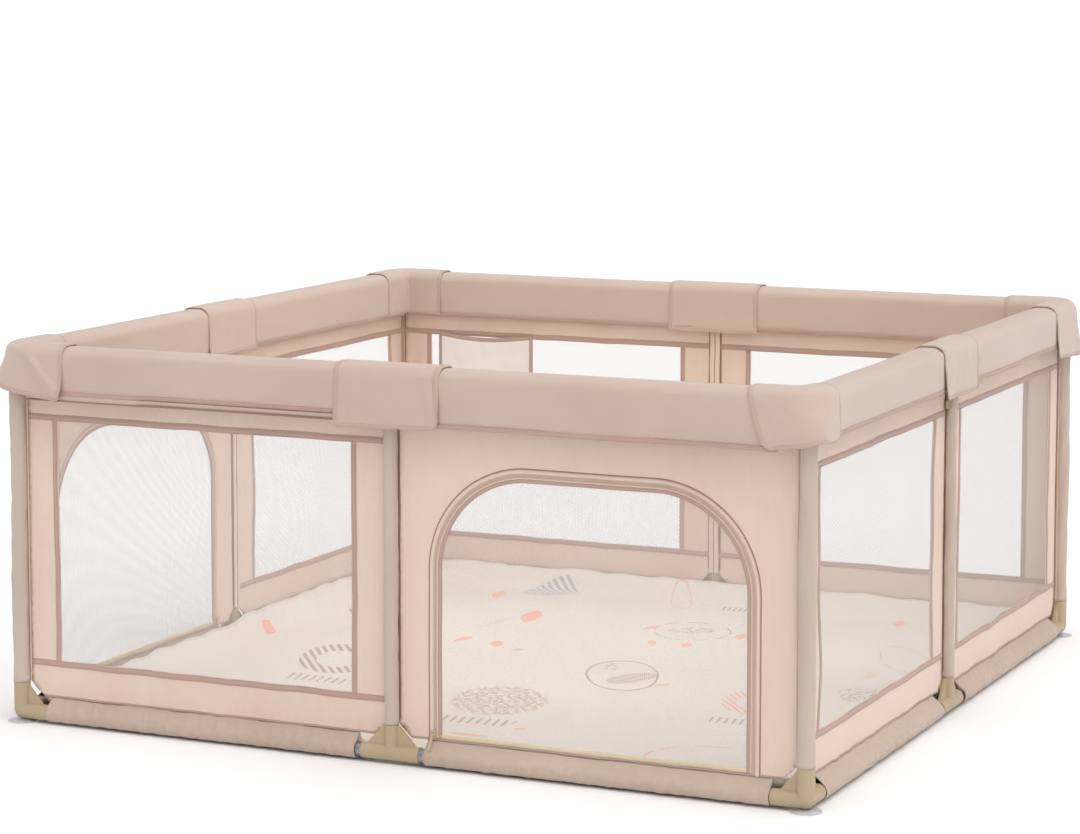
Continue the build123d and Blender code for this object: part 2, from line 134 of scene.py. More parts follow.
class Graph:
    """A material with one Principled shader, and short ways to wire it."""

    def __init__(self, name, **values):
        self.material = bpy.data.materials.new(name)
        self.material.use_nodes = True
        self.tree = self.material.node_tree
        self.shader = self.tree.nodes["Principled BSDF"]
        self.position = self.add("ShaderNodeTexCoord").outputs["Object"]
        for socket, value in values.items():
            self.shader.inputs[socket.replace("_", " ").title().replace("Ior", "IOR")].default_value = value

    def add(self, kind, **settings):
        node = self.tree.nodes.new(kind)
        for setting, value in settings.items():
            setattr(node, setting, value)
        return node

    def feed(self, socket, value):
        if isinstance(value, bpy.types.NodeSocket):
            self.tree.links.new(value, socket)
        else:
            socket.default_value = value

    def math(self, operation, *values, clamp=False):
        node = self.add("ShaderNodeMath", operation=operation, use_clamp=clamp)
        for socket, value in zip(node.inputs, values):
            self.feed(socket, value)
        return node.outputs[0]

    def times(self, first, second):
        return self.math("MULTIPLY", first, second)

    def below(self, value, limit):
        return self.math("LESS_THAN", value, limit)

    def above(self, value, limit):
        return self.math("GREATER_THAN", value, limit)

    def total(self, *terms):
        """Sum of (value, factor) pairs."""
        result = 0.0
        for value, factor in terms:
            result = self.math("MULTIPLY_ADD", value, factor, result)
        return result

    def axes(self, vector=None):
        split = self.add("ShaderNodeSeparateXYZ")
        self.feed(split.inputs[0], vector or self.position)
        return list(split.outputs)

    def stretched(self, scale):
        node = self.add("ShaderNodeMapping")
        self.feed(node.inputs["Vector"], self.position)
        node.inputs["Scale"].default_value = scale
        return node.outputs[0]

    def noise(self, scale, detail=2.0, vector=None):
        node = self.add("ShaderNodeTexNoise")
        self.feed(node.inputs["Vector"], vector or self.position)
        node.inputs["Scale"].default_value = scale
        node.inputs["Detail"].default_value = detail
        return node.outputs["Fac"]

    def mix(self, share, first, second):
        node = self.add("ShaderNodeMix", data_type="RGBA")
        self.feed(node.inputs["Factor"], share)
        self.feed(node.inputs[6], first)
        self.feed(node.inputs[7], second)
        return node.outputs[2]

    def weave(self, pitch):
        """Threads that cross at right angles on any face that lies along the axes."""
        step = TURN / pitch
        sines = [self.math("SINE", self.times(axis, step)) for axis in self.axes()]
        return self.total(*[(sine, 1.0) for sine in sines])

    def bump(self, height, distance, strength=1.0):
        node = self.add("ShaderNodeBump")
        node.inputs["Distance"].default_value = distance
        node.inputs["Strength"].default_value = strength
        self.feed(node.inputs["Height"], height)
        before = self.shader.inputs["Normal"]
        if before.is_linked:
            self.feed(node.inputs["Normal"], before.links[0].from_socket)
        self.feed(before, node.outputs[0])

    def colour(self, value):
        self.feed(self.shader.inputs["Base Color"], value)


def fabric(name, tone, shade, pitch=0.9 * MM, crinkle=0.6, grain=(1, 1, 1), sheen=0.3):
    """Woven cloth: slow patches of tone, a thread grid, fine creases with painted shade in their hollows."""
    g = Graph(name, roughness=0.82, sheen_weight=sheen, sheen_roughness=0.45, specular_ior_level=0.25)
    patches = g.noise(3.5, 3.0)
    threads = g.weave(pitch)
    specks = g.noise(700, 1.0)
    creases = g.noise(38, 3.0, g.stretched(grain))
    # the creases also tint the colour, lighter on their ridges and darker in their hollows: painted shade
    share = g.total((patches, 1.5), (threads, 0.05), (specks, 0.35), (creases, 0.35))
    g.colour(g.mix(g.math("ADD", share, -0.55, clamp=True), srgb(*shade), srgb(*tone)))
    g.bump(creases, 2.2 * MM, crinkle)
    g.bump(threads, 0.12 * MM, 0.5)
    return g.material


def open_mesh(name, tone, shade, pitch, thread):
    """Knitted net of sheer yarn: round holes on a hexagonal grid. thread is how opaque the yarn is."""
    g = Graph(name, roughness=0.75, sheen_weight=0.15, specular_ior_level=0.2)
    x, y, z = g.axes()
    along = g.math("ADD", x, y)
    step = 4 * math.pi / (math.sqrt(3) * pitch)
    rays = []
    for angle in (0, TURN / 6, TURN / 3):
        line = g.total((along, step * math.cos(angle)), (z, step * math.sin(angle)))
        rays.append((g.math("COSINE", line), 1.0))
    cells = g.total(*rays)
    yarn = g.below(cells, -0.8)
    g.feed(g.shader.inputs["Alpha"], g.times(yarn, thread))
    patches = g.noise(4.0, 2.0)
    g.colour(g.mix(patches, srgb(*shade), srgb(*tone)))
    g.bump(g.times(cells, -1.0), 0.2 * MM, 0.6)
    return g.material


def moulded(name, tone, shade, roughness):
    """Plastic with a fine spark-eroded grain and slightly rubbed patches."""
    g = Graph(name, roughness=roughness, specular_ior_level=0.45)
    patches = g.noise(9.0, 4.0)
    grain = g.noise(1500, 2.0)
    g.colour(g.mix(g.total((patches, 0.9), (grain, 0.2)), srgb(*shade), srgb(*tone)))
    g.feed(g.shader.inputs["Roughness"], g.total((patches, 0.22), (grain, 0.1), (1.0, roughness - 0.16)))
    g.bump(grain, 0.12 * MM, 0.5)
    g.bump(patches, 0.6 * MM, 0.3)
    return g.material


def brushed_steel(name):
    g = Graph(name, metallic=1.0, roughness=0.32)
    streaks = g.noise(160, 3.0, g.stretched((1, 1, 14)))
    patches = g.noise(12, 3.0)
    g.colour(g.mix(g.total((streaks, 0.7), (patches, 0.3)), srgb(120, 122, 128), srgb(186, 189, 196)))
    g.feed(g.shader.inputs["Roughness"], g.total((streaks, 0.25), (1.0, 0.2)))
    g.bump(streaks, 0.05 * MM, 0.3)
    return g.material


def clear_vinyl(name):
    g = Graph(name, roughness=0.12, ior=1.45, specular_ior_level=0.5)
    clouds = g.noise(60, 3.0)
    g.colour(g.mix(clouds, srgb(206, 202, 212), srgb(238, 236, 241)))
    g.feed(g.shader.inputs["Alpha"], g.total((clouds, 0.3), (1.0, 0.3)))
    g.bump(clouds, 0.4 * MM, 0.3)
    return g.material


CORAL = srgb(243, 178, 158)
UMBER = srgb(176, 152, 140)
SLATE = srgb(176, 176, 184)
BLUSH = srgb(226, 205, 192)
# scattered print of the mat: x, y, turn in degrees, half length, half width, kind, colour
STAMPS = [
    (-0.45, -0.11, 25, 0.075, 0.130, "hatched ring", UMBER),
    (-0.40, -0.28, 0, 0.065, 0.022, "dashes", UMBER),
    (-0.70, 0.06, 115, 0.026, 0.018, "leaf", CORAL),
    (-0.35, 0.67, 25, 0.062, 0.045, "stripes", SLATE),
    (-0.44, 0.60, 105, 0.046, 0.018, "leaf", CORAL),
    (-0.28, 0.42, 100, 0.058, 0.026, "leaf", CORAL),
    (-0.32, 0.33, 78, 0.060, 0.008, "leaf", BLUSH),
    (-0.31, 0.16, 80, 0.034, 0.013, "leaf", CORAL),
    (-0.23, 0.15, 110, 0.030, 0.017, "leaf", CORAL),
    (-0.17, 0.12, 30, 0.014, 0.009, "leaf", SLATE),
    (-0.05, 0.68, 115, 0.060, 0.024, "ring", CORAL),
    (0.10, 0.66, 0, 0.050, 0.018, "dashes", UMBER),
    (0.08, 0.42, 25, 0.084, 0.098, "broken ring", SLATE),
    (0.08, 0.43, 25, 0.052, 0.030, "dots", UMBER),
    (-0.01, 0.42, 75, 0.028, 0.013, "leaf", CORAL),
    (0.19, 0.41, 100, 0.034, 0.015, "leaf", CORAL),
    (0.05, 0.28, 115, 0.022, 0.011, "leaf", CORAL),
    (0.12, 0.29, 100, 0.023, 0.013, "leaf", CORAL),
    (0.11, -0.01, 25, 0.074, 0.138, "ring", UMBER),
    (0.14, -0.03, 60, 0.058, 0.030, "stripes", UMBER),
    (0.06, 0.05, 25, 0.014, 0.040, "dots", UMBER),
    (0.21, -0.05, 60, 0.022, 0.008, "leaf", CORAL),
    (-0.01, -0.30, 25, 0.092, 0.116, "stripes", BLUSH),
    (-0.01, -0.30, 25, 0.088, 0.110, "dots", UMBER),
    (0.02, -0.46, 0, 0.070, 0.024, "dashes", UMBER),
    (0.12, -0.49, 25, 0.014, 0.010, "leaf", CORAL),
    (0.05, -0.56, 5, 0.040, 0.008, "leaf", CORAL),
    (0.42, -0.12, 25, 0.060, 0.100, "hatched ring", CORAL),
    (0.45, -0.27, 0, 0.060, 0.020, "dashes", UMBER),
    (0.49, -0.55, 25, 0.110, 0.100, "broken ring", CORAL),
    (0.44, 0.66, 100, 0.034, 0.016, "leaf", CORAL),
    (0.55, 0.35, 115, 0.130, 0.045, "broken ring", SLATE),
    (0.54, 0.19, 95, 0.040, 0.016, "leaf", BLUSH),
    (0.58, 0.02, 25, 0.045, 0.060, "dots", UMBER),
    (-0.58, 0.36, 10, 0.090, 0.080, "broken ring", UMBER),
    (-0.62, -0.45, 20, 0.080, 0.070, "stripes", CORAL),
]


def stamp_mask(g, kind, local, size):
    """1 inside one printed motif; local runs from -1 to 1 across it."""
    x, y, _ = g.axes(local)
    length = g.add("ShaderNodeVectorMath", operation="LENGTH")
    g.feed(length.inputs[0], local)
    radius = length.outputs["Value"]
    inside = g.below(radius, 1.0)

    def wave(across, along):
        return g.math("SINE", g.total((x, across), (y, along)))

    if kind == "leaf":
        belly = g.math("SUBTRACT", 1.0, g.times(x, x))
        return g.below(g.math("ABSOLUTE", y), g.times(belly, 0.8))
    if kind == "dashes":
        square = g.times(g.below(g.math("ABSOLUTE", x), 1.0), g.below(g.math("ABSOLUTE", y), 1.0))
        return g.times(g.above(wave(26.0, 1.6), 0.45), square)
    line = 0.2 * MM / size + 0.025
    rim = g.below(g.math("ABSOLUTE", g.math("SUBTRACT", radius, 0.92)), line)
    if kind == "ring":
        return rim
    if kind == "broken ring":
        return g.times(rim, g.above(wave(9.0, 7.0), -0.5))
    hatch = g.above(wave(30.0, 11.0), 0.0)
    if kind == "stripes":
        return g.times(inside, hatch)
    if kind == "hatched ring":
        return g.times(g.times(inside, g.above(radius, 0.55)), hatch)
    spots = g.add("ShaderNodeTexVoronoi")
    spots.inputs["Scale"].default_value = 130
    g.feed(spots.inputs["Vector"], g.position)
    return g.times(inside, g.below(spots.outputs["Distance"], 0.42))


def printed_mat(name):
    """Smooth coated cloth with a scattered print."""
    g = Graph(name, roughness=0.55, sheen_weight=0.1, specular_ior_level=0.35)
    patches = g.noise(2.5, 3.0)
    threads = g.weave(1.4 * MM)
    colour = g.mix(g.total((patches, 1.0), (threads, 0.03)), srgb(224, 214, 204), srgb(236, 229, 221))
    for x, y, turn, long, wide, kind, ink in STAMPS:
        node = g.add("ShaderNodeMapping", vector_type="TEXTURE")
        g.feed(node.inputs["Vector"], g.position)
        node.inputs["Location"].default_value = (x, y, 0)
        node.inputs["Rotation"].default_value = (0, 0, math.radians(turn))
        node.inputs["Scale"].default_value = (long, wide, 1000)
        colour = g.mix(stamp_mask(g, kind, node.outputs[0], wide), colour, ink)
    g.colour(colour)
    creases = g.noise(7, 3.0)
    g.bump(creases, 9 * MM, 0.25)
    g.bump(threads, 0.08 * MM, 0.4)
    return g.material


PANEL = fabric("panel_cloth", (236, 214, 198), (226, 201, 184), crinkle=0.5, grain=(1.6, 1.6, 0.35))
PAD = fabric("pad_cloth", (208, 186, 172), (200, 176, 162), crinkle=0.12, sheen=0.5)
WRAP_EDGE = fabric("wrap_edge_tape", (203, 178, 164), (194, 168, 154), pitch=0.7 * MM, crinkle=0.2)
SLEEVE = fabric("sleeve_cloth", (207, 190, 176), (194, 176, 162), crinkle=0.6, grain=(1, 1, 0.5))
RAIL_CLOTH = fabric("rail_sleeve_cloth", (205, 184, 168), (188, 166, 150), crinkle=1.5, grain=(1.5, 1.5, 1.5))
BINDING = fabric("binding_tape", (198, 168, 155), (190, 158, 145), pitch=0.7 * MM, crinkle=0.2)
DARK_TAPE = fabric("seam_tape", (176, 142, 126), (160, 124, 107), pitch=0.7 * MM, crinkle=0.2)
ZIP_TAPE = fabric("zip_tape", (216, 192, 174), (204, 177, 158), pitch=0.6 * MM, crinkle=0.1)
FOOT_ZIP = fabric("foot_zip", (236, 220, 190), (214, 194, 158), pitch=0.6 * MM, crinkle=0.1)
# dark brown coil of the cover zips: partly the zip's own colour, partly painted shade of the slit beside each
# middle post
COVER_ZIP_SHADE = fabric("cover_zip", (150, 114, 92), (118, 84, 64), pitch=0.6 * MM, crinkle=0.1)
WINDOW = open_mesh("window_net", (223, 219, 216), (213, 208, 204), 2.1 * MM, 0.5)
POCKET = open_mesh("pocket_net", (244, 226, 214), (236, 214, 200), 1.3 * MM, 0.95)
MAT = printed_mat("mat_print")
PLASTIC = moulded("khaki_plastic", (190, 170, 141), (174, 153, 123), 0.42)
ZIP_METAL = moulded("painted_zip", (206, 184, 152), (182, 158, 126), 0.35)
STEEL = brushed_steel("tube_steel")
VINYL = clear_vinyl("cup_vinyl")


# ------------------------------------------------------------ mesh building
def link(name, data):
    """A new object in the scene."""
    thing = bpy.data.objects.new(name, data)
    bpy.context.scene.collection.objects.link(thing)
    return thing


def add_piece(name, points, faces, material, body="frame"):
    mesh = bpy.data.meshes.new(name)
    if isinstance(faces, np.ndarray):
        faces = faces.tolist()
    mesh.from_pydata(np.reshape(points, (-1, 3)).tolist(), [], faces)
    mesh.materials.append(material)
    mesh.shade_smooth()
    piece = link(name, mesh)
    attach(piece, body)
    return piece


def grid_faces(rows, columns, round_columns=False):
    """Quads of a grid of points, optionally closed round its columns."""
    index = np.arange(rows * columns).reshape(rows, columns)
    if round_columns:
        index = np.concatenate([index, index[:, :1]], axis=1)
    quads = np.stack([index[:-1, :-1], index[:-1, 1:], index[1:, 1:], index[1:, :-1]], axis=-1)
    return quads.reshape(-1, 4)


def loft(name, grid, material, body="frame", closed=False, capped=False):
    """A surface through a grid of points: rows go along, columns across."""
    rows, columns = grid.shape[:2]
    faces = grid_faces(rows, columns, closed).tolist()
    if capped:
        faces.append(list(range(columns)))
        faces.append([(rows - 1) * columns + k for k in range(columns)][::-1])
    return add_piece(name, grid, faces, material, body)


def thicken(piece, thickness, offset=0.0):
    modifier = piece.modifiers.new("thickness", "SOLIDIFY")
    modifier.thickness = thickness
    modifier.offset = offset


def unit(vectors):
    return vectors / np.maximum(np.linalg.norm(vectors, axis=-1, keepdims=True), 1e-12)


# cross-section of a folded tape, with a stitched groove near each edge
TAPE = [(-1, 0), (-0.94, 0.7), (-0.8, 1), (-0.66, 0.62), (-0.5, 1), (0, 1.1)]
TAPE += [(-x, y) for x, y in TAPE[-2:0:-1]]
TAPE = np.array(TAPE + [(-x, -y) for x, y in TAPE])
CORD = np.array([(math.cos(a), math.sin(a)) for a in np.linspace(0, TURN, 8, endpoint=False)])


def tape_kind(width, thick, material, slot="binding_tape", section=TAPE):
    """What a tape or cord is like; its width and thickness are in mm."""
    return width * MM, thick * MM, material, slot, section


BINDING_W = 12 * MM
# dark tapes along the panel edges beside the posts: partly a bound edge, partly painted shade of the gap
# between each panel and its post sleeve
POST_EDGE_SHADE_TAPE = tape_kind(5, 3.4, DARK_TAPE)
FOOT_SEAM = tape_kind(4, 3.4, BINDING)
WINDOW_LEVEL = tape_kind(12, 3.6, BINDING)
WINDOW_UPRIGHT = tape_kind(10, 4.2, BINDING)
DOOR_PIPING = tape_kind(2.4, 2.4, DARK_TAPE, section=CORD)
DOOR_BAND = tape_kind(7.4, 4.2, PANEL, "panel_fabric")
ZIP_OUTER = tape_kind(3.8, 2.2, ZIP_TAPE, section=CORD)
ZIP_INNER = tape_kind(3.6, 2.6, PANEL, "panel_fabric", CORD)
DOOR_BINDING = tape_kind(7.2, 3.4, BINDING)
DOOR_FOOT = tape_kind(7, 2.4, FOOT_ZIP)
FACING_SEAM = tape_kind(2, 1.6, DARK_TAPE, section=CORD)
COVER_COIL = tape_kind(2.8, 2.6, COVER_ZIP_SHADE, "zip_metal", CORD)
COVER_PULL = tape_kind(4.5, 1.8, ZIP_METAL, "zip_metal", CORD)
PAD_HEM = tape_kind(9, 2.8, BINDING)
SECOND_HEM = tape_kind(9, 1.6, PAD, "pad_fabric")
SECOND_EDGE = tape_kind(2.6, 2.8, DARK_TAPE)


def ribbon(name, centre, across, normal, kind, body="frame"):
    """A tape or cord of one kind along a line of points."""
    width, thick, material, slot, section = kind
    wide, high = section[:, 0] * width / 2, section[:, 1] * thick / 2
    across, normal = np.atleast_2d(across), np.atleast_2d(normal)
    grid = (
        centre[:, None, :]
        + wide[None, :, None] * across[:, None, :]
        + high[None, :, None] * normal[:, None, :]
    )
    return loft(name, grid, material, body, closed=True, capped=True)


def across_way(side, way):
    """Direction across a way that runs in (u, z) along the fabric of a side."""
    return way[:, :1] * UP - way[:, 1:] * ALONG[side]


def tape_on_side(name, side, half, start, end, kind, level, seed, body="frame"):
    """A straight tape on half a side between two (u, z) points, with a slight drift."""
    start, end = np.array(start) * (half, 1), np.array(end) * (half, 1)
    length = np.linalg.norm(end - start)
    t = np.linspace(0, 1, max(2, int(length / (9 * MM))))[:, None]
    way = (end - start)[None] / length
    drift = 0.5 * MM * waves(t * length, 0, seed, 0.11) * np.sin(math.pi * t) ** 0.5
    line = start + t * (end - start) + drift * (-way[0, 1], way[0, 0])
    u, z = line.T
    return ribbon(name, place(side, u, level(u, z), z), across_way(side, way), OUTWARD[side], kind, body)


def inside_polygon(points, polygon):
    """Which points lie inside a closed polygon."""
    x, y = points[:, 0], points[:, 1]
    result = np.zeros(len(points), bool)
    for (x1, y1), (x2, y2) in zip(polygon, np.roll(polygon, -1, axis=0)):
        crosses = (y1 > y) != (y2 > y)
        slope = (x2 - x1) * (y - y1) / np.where(y2 == y1, 1e-12, y2 - y1) + x1
        result ^= crosses & (x < slope)
    return result


def refine(polygon, spacing):
    """Adds points along the edges of a closed polygon."""
    result = []
    for a, b in zip(polygon, np.roll(polygon, -1, axis=0)):
        count = max(1, int(round(np.linalg.norm(b - a) / spacing)))
        result += [a + (b - a) * k / count for k in range(count)]
    return np.array(result)


def within(points, loops):
    """Which points lie inside the first loop and outside the others."""
    keep = inside_polygon(points, loops[0])
    for hole in loops[1:]:
        keep &= ~inside_polygon(points, hole)
    return keep


def fill(outline, holes, spacing):
    """Points and triangles of a flat shape with holes, about spacing apart."""
    loops = [refine(np.array(loop, float), spacing) for loop in [outline, *holes]]
    low, high = loops[0].min(0), loops[0].max(0)
    xs = np.arange(low[0] + spacing / 2, high[0], spacing)
    ys = np.arange(low[1] + spacing / 2, high[1], spacing * 0.87)
    inner = np.array([(x + (row % 2) * spacing / 2, y) for row, y in enumerate(ys) for x in xs])
    inner = inner[within(inner, loops)]
    border = np.concatenate(loops)
    close = np.array([np.min(np.abs(border - p).max(1)) for p in inner]) < spacing * 0.45
    edges, start = [], 0
    for loop in loops:
        count = len(loop)
        edges += [(start + k, start + (k + 1) % count) for k in range(count)]
        start += count
    points = [Vector(p) for p in np.concatenate([border, inner[~close]])]
    made = delaunay_2d_cdt(points, edges, [], 0, 1e-7)
    flat = np.array([tuple(p) for p in made[0]])
    triangles = np.array([t for t in made[2] if len(t) == 3])
    return flat, triangles[within(flat[triangles].mean(1), loops)]


# ------------------------------------------------------------ side fabric
MID_CUT = 24 * MM  # lower corners are cut off over the gussets
CORNER_CUT = 29 * MM
CLOTH_T = 1.6 * MM
NET_T = 0.5 * MM
CALM = 20 * MM  # the fabric has no creases this near to a post
EDGE_CORNER = HALF - PANEL_U[1]
EDGE_MID = PANEL_U[0]


def panel_outline(half):
    """Corners of one panel between the middle post and a corner post, in (u, z)."""
    near, far = EDGE_MID, HALF - EDGE_CORNER
    low, top = PANEL_Z
    corners = [(near, low + MID_CUT), (near + MID_CUT, low), (far - CORNER_CUT, low), (far, low + CORNER_CUT)]
    corners += [(far, top), (near, top)]
    return [(half * u, z) for u, z in corners]


def window_corners(half, grown=0.0):
    """Corners of a window, or of a shape that is larger all round."""
    near, far = WINDOW_MARGIN - grown, HALF - WINDOW_MARGIN + grown
    low, top = WINDOW_Z[0] - grown, WINDOW_Z[1] + grown
    return [(half * near, low), (half * far, low), (half * far, top), (half * near, top)]


def polygon_area(polygon):
    x, y = np.array(polygon).T
    return abs(float(np.dot(x, np.roll(y, -1)) - np.dot(y, np.roll(x, -1)))) / 2


def panel_surface(seed, amount=1.0):
    """Where the side fabric stands: upright creases, soft buckles, and puckers along its two hems."""

    def level(u, z):
        reach = np.abs(u)
        free = ease(reach, EDGE_MID, EDGE_MID + CALM) * ease(HALF - reach, EDGE_CORNER, EDGE_CORNER + CALM)
        creases = waves(u, z * 0.22, seed, 0.035)
        buckles = waves(u, z * 0.5, seed + 1, 0.16)
        hems = ease(z, 0.54, 0.6) + ease(-z, -0.11, -0.06)
        puckers = waves(u, z * 0.3, seed + 2, 0.018)
        return PANEL_MID + amount * free * (0.4 * creases + 1.0 * buckles + 0.5 * hems * puckers) * MM

    return level


def panel_cloth(name, side, half, hole, seed, amount=1.0):
    """The woven part of one panel, with its window or door opening."""
    outline = panel_outline(half)
    flat, triangles = fill(outline, [hole], 11 * MM)
    u, z = flat[:, 0], flat[:, 1]
    points = place(side, u, panel_surface(seed, amount)(u, z), z)
    piece = add_piece(name, points, triangles, PANEL)
    thicken(piece, CLOTH_T)
    size = (abs(outline[0][0] - outline[3][0]), PANEL_Z[1] - PANEL_Z[0])
    area = polygon_area(outline) - polygon_area(hole)
    return piece, size, area


def panel_edges(name, side, half, seed, amount=1.0):
    """Tapes that join a panel to its two post sleeves, and the seam above the rail sleeve; the dark edge
    tapes are partly painted shade of the gap beside each post.
    """
    level = panel_surface(seed, amount)
    near, far = EDGE_MID + 2 * MM, HALF - EDGE_CORNER - 1 * MM
    low, top = PANEL_Z[0] + CORNER_CUT, POST_SLEEVE_Z[1]
    seam = PANEL_Z[0] + 1.5 * MM
    foot = (near + MID_CUT, seam), (far - CORNER_CUT, seam)
    return [
        tape_on_side(f"{name}_mid_edge_shade", side, half, (near, low), (near, top), POST_EDGE_SHADE_TAPE, level, seed),
        tape_on_side(f"{name}_corner_edge_shade", side, half, (far, low), (far, top), POST_EDGE_SHADE_TAPE, level, seed),
        tape_on_side(f"{name}_foot_seam", side, half, *foot, FOOT_SEAM, level, seed + 3),
    ]


def add_net(name, side, flat, n, triangles, node, body="frame"):
    net = add_piece(name, place(side, flat[:, 0], n, flat[:, 1]), triangles, WINDOW, body)
    thicken(net, NET_T)
    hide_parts(node)
    return net


def window_side(name, side, half, seed):
    """Panel with a bound window, and the net in it."""
    panel, size, area = panel_cloth(f"panel_{name}", side, half, window_corners(half), seed)
    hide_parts(f"window_panel_{name}")
    level = panel_surface(seed)
    pieces = panel_edges(f"panel_{name}", side, half, seed)
    low, top = WINDOW_Z
    near, far = WINDOW_MARGIN, HALF - WINDOW_MARGIN
    reach, overlap = BINDING_W / 2, 2 * MM
    for label, z in (("top", top + reach), ("low", low - reach)):
        ends = (EDGE_MID, z), (HALF - EDGE_CORNER, z)
        pieces.append(tape_on_side(f"binding_{name}_{label}", side, half, *ends, WINDOW_LEVEL, level, seed))
    for label, u in (("near", near - reach), ("far", far + reach)):
        ends = (u, low - overlap), (u, top + overlap)
        pieces.append(tape_on_side(f"binding_{name}_{label}", side, half, *ends, WINDOW_UPRIGHT, level, seed))

    net_edge = 3 * MM
    flat, triangles = fill(window_corners(half, net_edge), [], 18 * MM)
    u, z = flat.T
    rim = ease(np.abs(u), near, near + 0.08) * ease(far - np.abs(u), 0, 0.08) * ease(z, low, low + 0.06)
    n = PANEL_MID + rim * 1.6 * MM * waves(u, z, seed + 5, 0.3)
    net = add_net(f"net_{name}", side, flat, n, triangles, "window_mesh")
    size = (far - near + 2 * net_edge, top - low + 2 * net_edge)


# ------------------------------------------------------------ zip doors
DOOR_NEAR = 67 * MM
DOOR_FAR = 669 * MM
DOOR_TOP = 525 * MM
DOOR_RADIUS = 185 * MM
DOOR_SLACK = 0.5  # the door panels are drawn tighter than the window panels
ZIP_INSET = 12.5 * MM
ZIP_GAP = 2.2 * MM
SURROUND = 25 * MM  # from the outer seam to the net of the flap
NET_UNDER = 3 * MM  # how far the net reaches under its binding
DOOR_LEG_LOW = 50 * MM  # about where the legs of the arch begin


def arch(half, inset, foot, step=6 * MM):
    """(u, z) along the arch from its foot near the middle post, over the top, to its far foot."""
    near, far, top = DOOR_NEAR + inset, DOOR_FAR - inset, DOOR_TOP - inset
    radius = DOOR_RADIUS - inset
    legs = max(2, int((DOOR_TOP - DOOR_RADIUS - DOOR_LEG_LOW) / step))
    bends = max(4, int(DOOR_RADIUS * math.pi / 2 / step))
    flats = max(2, int((DOOR_FAR - DOOR_NEAR - 2 * DOOR_RADIUS) / step))
    leg = np.linspace(foot, top - radius, legs, endpoint=False)
    turn = np.linspace(0, math.pi / 2, bends, endpoint=False)
    level = np.linspace(near + radius, far - radius, flats, endpoint=False)
    u = np.concatenate([
        np.full(legs, near),
        near + radius - radius * np.cos(turn),
        level,
        far - radius + radius * np.sin(turn),
        np.full(legs + 1, far),
    ])
    z = np.concatenate([
        leg,
        top - radius + radius * np.sin(turn),
        np.full(flats, top),
        top - radius + radius * np.cos(turn),
        np.linspace(top - radius, foot, legs + 1),
    ])
    return np.stack([half * u, z], axis=-1)


def arch_line(side, half, inset, foot, level, out, step=6 * MM):
    """Points of a line that follows the arch on the fabric, and the directions across it."""
    line = arch(half, inset, foot, step)
    u, z = line.T
    way = unit(np.gradient(line, axis=0))
    return place(side, u, level(u, z) + out, z), across_way(side, way)


def arch_band(name, side, half, inset, kind, level, foot, body="frame", out=0.0):
    """A tape, band or cord that follows the arch."""
    centre, across = arch_line(side, half, inset, foot, level, out)
    return ribbon(name, centre, across, OUTWARD[side], kind, body)


def coil(name, side, half, inset, foot, body, phase, level):
    """One half of the zip: a cord whose turns stand up as separate teeth."""
    centre, across = arch_line(side, half, inset, foot, level, 0.9 * MM, 0.8 * MM)
    tooth = np.where((np.arange(len(centre)) + phase) % 2 == 0, 1.0, 0.55)[:, None, None]
    wide, high = CORD[None, :, :1] * 1.5 * MM, CORD[None, :, 1:] * 1.15 * MM
    grid = centre[:, None] + wide * across[:, None] * (0.8 + 0.2 * tooth) + high * tooth * OUTWARD[side]
    return loft(name, grid, ZIP_TAPE, body, closed=True, capped=True)


def door_surround(name, side, half, seed):
    """Panel with an arched opening, and the outer half of its zip."""
    foot = PANEL_Z[0]
    opening = arch(half, ZIP_INSET, foot, 9 * MM)
    panel, size, area = panel_cloth(f"door_surround_{name}", side, half, opening, seed, DOOR_SLACK)
    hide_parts(f"door_panel_{name}")
    level = panel_surface(seed, DOOR_SLACK)
    around = side, half
    pieces = panel_edges(f"door_surround_{name}", side, half, seed, DOOR_SLACK) + [
        arch_band(f"door_piping_{name}", *around, 1.2 * MM, DOOR_PIPING, level, foot, out=CLOTH_T / 2),
        arch_band(f"door_band_{name}", *around, 5.8 * MM, DOOR_BAND, level, foot),
        arch_band(f"zip_tape_outer_{name}", *around, 10.6 * MM, ZIP_OUTER, level, foot),
        coil(f"zip_coil_outer_{name}", *around, ZIP_INSET - 0.3 * MM, foot, "frame", 0, level),
    ]
    return panel


